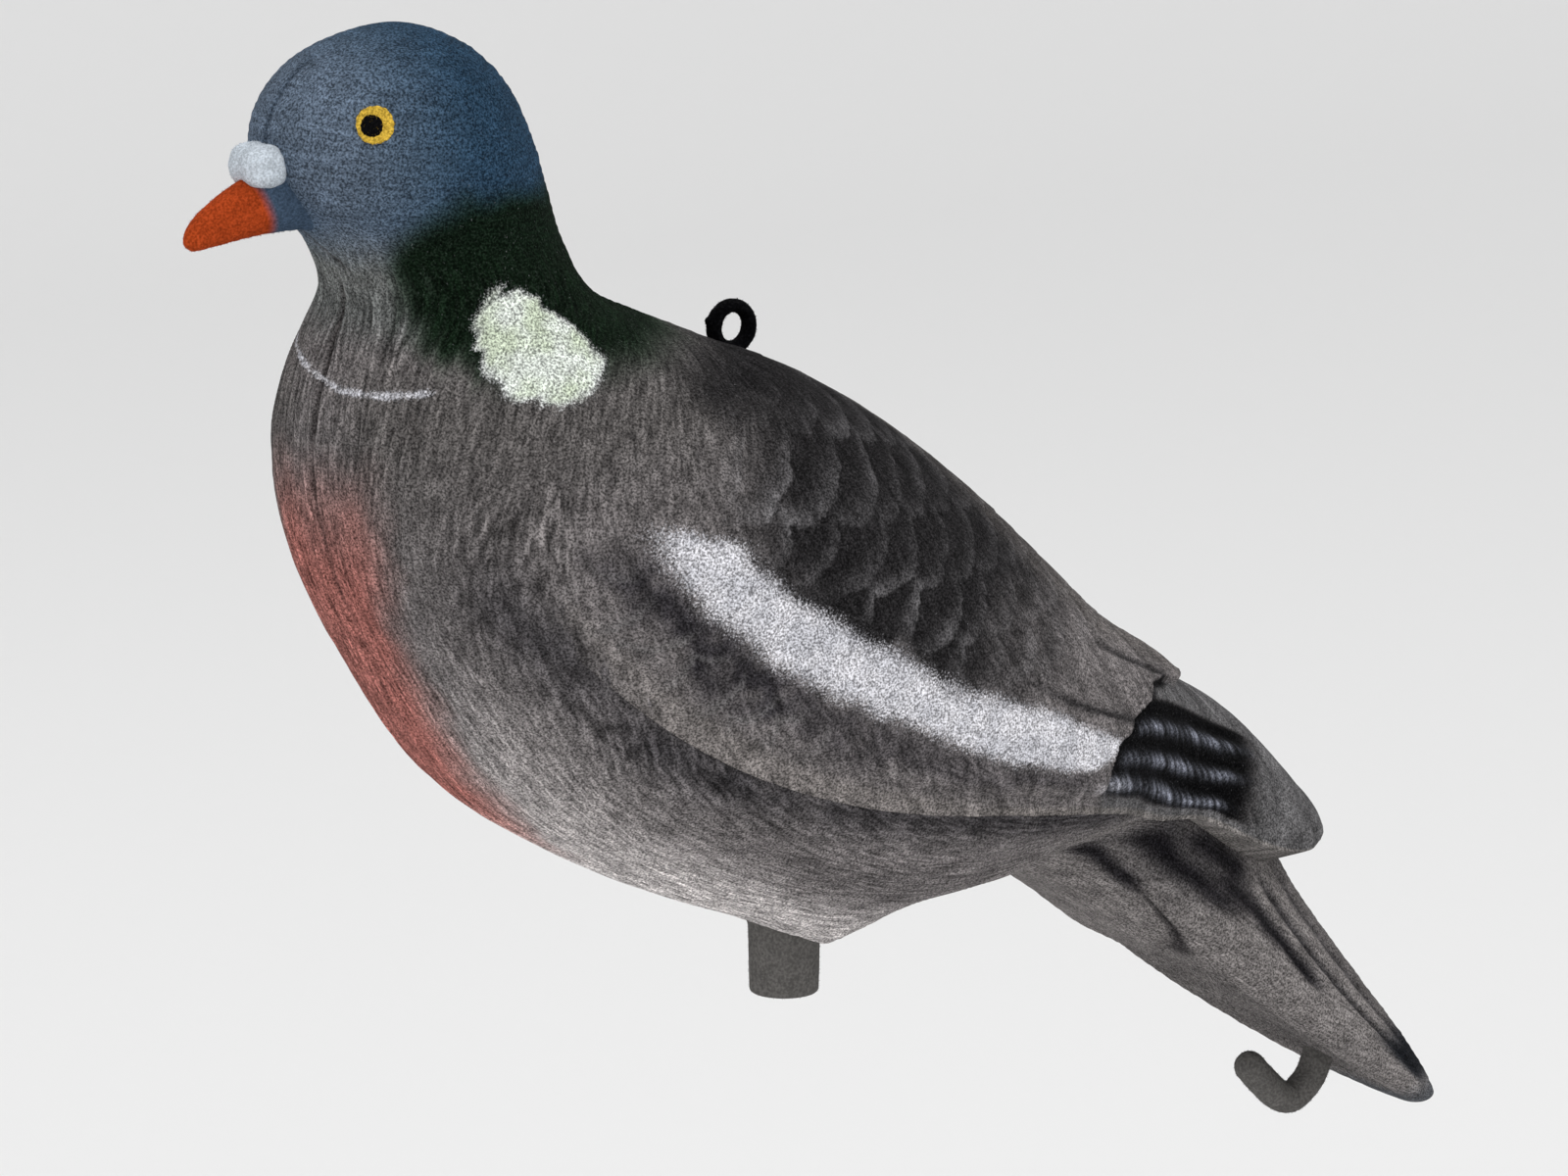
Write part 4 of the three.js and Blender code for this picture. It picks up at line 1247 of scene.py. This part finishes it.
class DECOY_OT_beak(bpy.types.Operator):
    """Builds the beak and the swollen cere above it"""
    bl_idname = "decoy.beak"
    bl_label = "Beak and cere"

    def execute(self, context):
        self.beak(tuple(context.scene.decoy_colours.beak))
        self.cere()
        return {"FINISHED"}

    @staticmethod
    def beak(colour):
        """A tapering oval beak with a shallow gape line along each side."""
        rows = np.linspace(0, len(BEAK_ROWS) - 1.001, resolution(70))
        columns = np.linspace(0, 2 * math.pi, resolution(72), endpoint=False)
        w, angle = np.meshgrid(rows, columns, indexing="ij")
        x, z, half_height, half_width = np.moveaxis(rows_at(BEAK_ROWS, w, over_beak_end), -1, 0)
        gape = 1 - 0.1 * bump(np.abs(np.sin(angle)), 1, 0.1) * between(w, 2, 3, 5, 5.8)
        y = -half_width * np.sin(angle) * gape
        points = np.stack([x, y, z + half_height * np.cos(angle) + STUB_LENGTH], -1)
        points = points + 0.1 * noise(points, 1.2, 81)[..., None]
        material = plain_flock("beak_flock", colour, 0.5, 0.3, BEAK_BOUNDARY)
        flocked("beak", grid_mesh("beak", points), material)

    @staticmethod
    def cere():
        """One swelling across the beak's root, with a dip along its middle."""
        rows = np.linspace(-math.pi / 2, math.pi / 2, resolution(60))
        columns = np.linspace(0, 2 * math.pi, resolution(72), endpoint=False)
        lat, lon = np.meshgrid(rows, columns, indexing="ij")
        direction = np.stack([np.cos(lat) * np.cos(lon), np.sin(lat), np.cos(lat) * np.sin(lon)], -1)
        dip = 1 - 0.12 * bump(direction[..., 1], 0, 0.25)
        points = np.sign(direction) * np.abs(direction) ** 0.8 * CERE_HALVES * dip[..., None]
        points = points * (1 + 0.03 * noise(points, 1.3, 82)[..., None])
        at, under = np.array(CERE_AT), np.array(math.pi)
        points = points + skin(at, under) + skin_normal(at, under) * 2.1 + CERE_SHIFT
        flocked("cere", grid_mesh("cere", points), plain_flock("cere_flock", CERE_GREY, 0.45, 0.26))


class DECOY_OT_eyes(bpy.types.Operator):
    """Builds the painted eyes, a yellow iris and a black pupil on each side"""
    bl_idname = "decoy.eyes"
    bl_label = "Eyes"

    def execute(self, context):
        iris = plain_flock("iris_paint", IRIS_YELLOW, 0.45, 0.42)
        pupil = plain_flock("pupil_paint", PUPIL_BLACK, 0.45, 0.2)
        for side, sign in (("left", 1), ("right", -1)):
            self.spot("iris_" + side, iris, IRIS_RADIUS, 0.22, sign, 0.0)
            self.spot("pupil_" + side, pupil, PUPIL_RADIUS, 0.34, sign, PUPIL_AHEAD)
        return {"FINISHED"}

    @staticmethod
    def spot(name, material, radius, height, sign, ahead):
        """A low round spot of paint that follows the head's side, a little ahead of the eye's middle."""
        place = np.array(EYE_AT), np.array(EYE_ANGLE * sign)
        centre, out = skin(*place), skin_normal(*place)
        side = np.cross(out, [0, 0, 1])
        side /= np.linalg.norm(side)
        up = np.cross(side, out)
        centre = centre + ahead * side * np.sign(-side[0]) - 0.4 * ahead * up * np.sign(up[2])
        turns = np.linspace(0, 2 * math.pi, resolution(96), endpoint=False)
        levels = [(0.02, 1.0), (0.35, 1.0), (0.7, 0.95), (0.9, 0.75), (0.98, 0.4), (1.0, -4.0)]
        rings = []
        for share, rise in levels:
            ragged = 1 + 0.035 * np.sin(9 * turns + radius) * np.sin(5 * turns) * (share > 0.8)
            reach = radius * share * ragged
            flat = centre + np.outer(np.cos(turns) * reach, side) + np.outer(np.sin(turns) * reach, up)
            sag = reach ** 2 / (2 * HEAD_ROUND)
            rings.append(flat + np.outer(height * rise + 0.25 - sag, out))
        points = np.array(rings)[:, ::-1]
        if sign < 0:
            points = points[:, ::-1]
        flocked(name, grid_mesh(name, points), material)


# Ring, hook and stub

class DECOY_OT_fittings(bpy.types.Operator):
    """Builds the line ring, the hook and the stub with its socket"""
    bl_idname = "decoy.fittings"
    bl_label = "Fittings"

    def execute(self, context):
        sizes = context.scene.decoy_sizes
        dark = plain_flock("ring_flock", RING_BLACK, 0.6, 0.35)
        grey = plain_flock("fitting_flock", tuple(context.scene.decoy_colours.fittings), 0.6, 0.25)
        self.ring(sizes, dark)
        self.hook(sizes, grey)
        self.stub(sizes, grey)
        return {"FINISHED"}

    @staticmethod
    def swept(name, path, share, bar, material, flatness=1.0, closed=False):
        """A flocked bar along a path in the middle plane."""
        tree = bpy.data.node_groups.get("swept_bar") or bar_tree()
        values = {"Bar": bar * MM, "Flatness": flatness, "Lumps": LUMP_HEIGHT, "Sides": resolution(40),
                  "Material": material}
        flocked(name, grown_mesh(name, path_mesh(name, path, share, closed), tree, values), material)

    def ring(self, sizes, material):
        """The ring, sunk a little into the back, and the rough burr behind it."""
        outer, hole, thick = sizes.ring_outer / MM, sizes.ring_hole / MM, sizes.ring_thickness / MM
        bar = (outer - hole) / 2
        place = np.array(RING_AT), np.array(0.0)
        middle = skin(*place) + skin_normal(*place) * (outer / 2 - 1.4)
        turn = np.linspace(0, 2 * math.pi, resolution(72), endpoint=False)
        path = middle + (outer - bar) / 2 * np.stack([np.cos(turn), 0 * turn, np.sin(turn)], -1)
        self.swept("line_ring", path, np.ones(len(path)), bar, material, thick / bar, closed=True)
        burr = np.linspace(0, 1, 14)
        path = middle + np.outer(burr, [-3.2, 0, 1.6]) + np.array([-3.4, 0, 0.6])
        self.swept("ring_burr", path, np.sqrt(np.maximum(1 - burr ** 2, 0.004)), 3.0, material)

    def hook(self, sizes, material):
        """A bar that drops from the tail, turns forwards and ends in a round nose."""
        seat = skin(np.array(HOOK_AT), np.array(math.pi))
        route = HOOK_ROUTE * np.array([HOOK_REACH, HOOK_DROP])
        route = np.stack([seat[0] + route[:, 0], 0 * route[:, 0], seat[2] + route[:, 1]], -1)
        steps = np.linspace(0, len(route) - 1, resolution(90))
        path = rows_at(route, steps)
        ahead = (path[-1] - path[-2]) / np.linalg.norm(path[-1] - path[-2])
        bar = sizes.hook_bar / MM
        nose = np.linspace(0, 1, 14)[1:] ** 0.7 * 0.995
        path = np.vstack([path, path[-1] + np.outer(nose * bar / 2, ahead)])
        share = np.concatenate([np.ones(len(steps)), np.sqrt(1 - nose ** 2)])
        self.swept("tail_hook", path, share, bar, material)

    @staticmethod
    def stub(sizes, material):
        """The round stub, from inside the belly down to its rounded rim and up its blind socket."""
        radius = sizes.stub_diameter / MM / 2
        mouth = radius - 0.4
        outline = [(0.05, STUB_TOP), (9.5, STUB_TOP), (radius + 2.5, STUB_LENGTH + 1.5)]
        outline += [(radius + 0.6, STUB_LENGTH - 1.0), (radius - 0.1, STUB_LENGTH - 3.2), (mouth + 0.1, 4.0)]
        outline += [(mouth - 0.8 + 0.8 * math.cos(a), 0.8 - 0.8 * math.sin(a))
                    for a in np.linspace(0, math.pi / 2, 8)]
        outline += [(SOCKET + 0.3, 0.0), (SOCKET, 0.3), (SOCKET, 12.0)]
        outline += [(SOCKET, SOCKET_TOP), (0.05, SOCKET_TOP)]
        turns = np.linspace(0, 2 * math.pi, resolution(72), endpoint=False)
        rings = [np.stack([reach * np.cos(turns), reach * np.sin(turns), np.full_like(turns, z)], -1)
                 for reach, z in outline]
        flocked("belly_stub", grid_mesh("belly_stub", np.array(rings)), material, FIBRE_DENSITY / 2)


# Floor, lights and camera

class DECOY_OT_stage(bpy.types.Operator):
    """Builds the pale floor, the soft studio light and the camera"""
    bl_idname = "decoy.stage"
    bl_label = "Stage"

    def execute(self, context):
        self.floor()
        self.lights(context)
        self.camera(context)
        context.scene.view_settings.view_transform = "Standard"
        return {"FINISHED"}

    @staticmethod
    def floor():
        """A floor that bends up behind into a wall."""
        bend = np.linspace(0, math.pi / 2, 24)
        across = [FLOOR_FRONT, *(FLOOR_BACK + FLOOR_BEND * np.sin(bend)), FLOOR_BACK + FLOOR_BEND]
        up = [FLOOR_Z, *(FLOOR_Z + FLOOR_BEND * (1 - np.cos(bend))), FLOOR_TOP]
        verts = [(x, y, z) for y, z in zip(across, up) for x in (-FLOOR_SIDE, FLOOR_SIDE)]
        faces = [(2 * i, 2 * i + 1, 2 * i + 3, 2 * i + 2) for i in range(len(up) - 1)]
        mesh = bpy.data.meshes.new("floor")
        mesh.from_pydata(verts, [], faces)
        mesh.polygons.foreach_set("use_smooth", np.ones(len(faces), bool))
        floor = bpy.data.objects.new("floor", mesh)
        bpy.context.collection.objects.link(floor)
        material = bpy.data.materials.new("floor_paper")
        material.use_nodes = True
        shader = material.node_tree.nodes["Principled BSDF"]
        shader.inputs["Base Color"].default_value = FLOOR_GREY
        shader.inputs["Roughness"].default_value = 1.0
        mesh.materials.append(material)

    @staticmethod
    def lights(context):
        """An even white surrounding, and three broad lights that face the bird."""
        world = bpy.data.worlds.new("studio")
        world.use_nodes = True
        sky = world.node_tree.nodes["Background"].inputs
        sky["Color"].default_value = (1, 1, 1, 1)
        sky["Strength"].default_value = SKY_STRENGTH
        context.scene.world = world
        for name, (place, size, power) in LIGHTS.items():
            data = bpy.data.lights.new(name, "AREA")
            data.size = size
            data.energy = power
            light = bpy.data.objects.new(name, data)
            light.location = place
            towards = Vector(LIT_POINT) - light.location
            light.rotation_euler = towards.to_track_quat("-Z", "Y").to_euler()
            context.collection.objects.link(light)

    @staticmethod
    def camera(context):
        data = bpy.data.cameras.new("camera")
        data.sensor_width = SENSOR
        data.lens = FOCAL_PIXELS / FRAME_PIXELS * SENSOR
        data.clip_end = 30
        camera = bpy.data.objects.new("camera", data)
        level = math.cos(CAMERA_LIFT)
        back = Vector((-math.sin(CAMERA_TURN) * level, -math.cos(CAMERA_TURN) * level, math.sin(CAMERA_LIFT)))
        camera.location = Vector(CAMERA_TARGET) + back * CAMERA_DISTANCE
        camera.rotation_euler = (-back).to_track_quat("-Z", "Y").to_euler()
        context.collection.objects.link(camera)
        context.scene.camera = camera


# Panel and registration

class DECOY_PT_panel(bpy.types.Panel):
    """The decoy's settings and its build steps"""
    bl_idname = "DECOY_PT_panel"
    bl_label = "Pigeon Decoy"
    bl_space_type = "VIEW_3D"
    bl_region_type = "UI"
    bl_category = "Decoy"

    def draw(self, context):
        for group in (context.scene.decoy_sizes, context.scene.decoy_colours):
            for name in group.bl_rna.properties.keys():
                if name not in ("rna_type", "name"):
                    self.layout.prop(group, name)
        for operator in OPERATORS:
            self.layout.operator(operator.bl_idname)


OPERATORS = (DECOY_OT_head, DECOY_OT_body, DECOY_OT_tail, DECOY_OT_wings, DECOY_OT_beak, DECOY_OT_eyes,
             DECOY_OT_fittings, DECOY_OT_stage)
CLASSES = (DecoySizes, DecoyColours, *OPERATORS, DECOY_PT_panel)


def register():
    for cls in CLASSES:
        bpy.utils.register_class(cls)
    bpy.types.Scene.decoy_sizes = bpy.props.PointerProperty(type=DecoySizes)
    bpy.types.Scene.decoy_colours = bpy.props.PointerProperty(type=DecoyColours)


def unregister():
    del bpy.types.Scene.decoy_colours
    del bpy.types.Scene.decoy_sizes
    for cls in reversed(CLASSES):
        bpy.utils.unregister_class(cls)


def main():
    register()
    bpy.ops.decoy.head()
    bpy.ops.decoy.body()
    bpy.ops.decoy.tail()
    bpy.ops.decoy.wings()
    bpy.ops.decoy.beak()
    bpy.ops.decoy.eyes()
    bpy.ops.decoy.fittings()
    bpy.ops.decoy.stage()


if __name__ == "__main__":
    main()
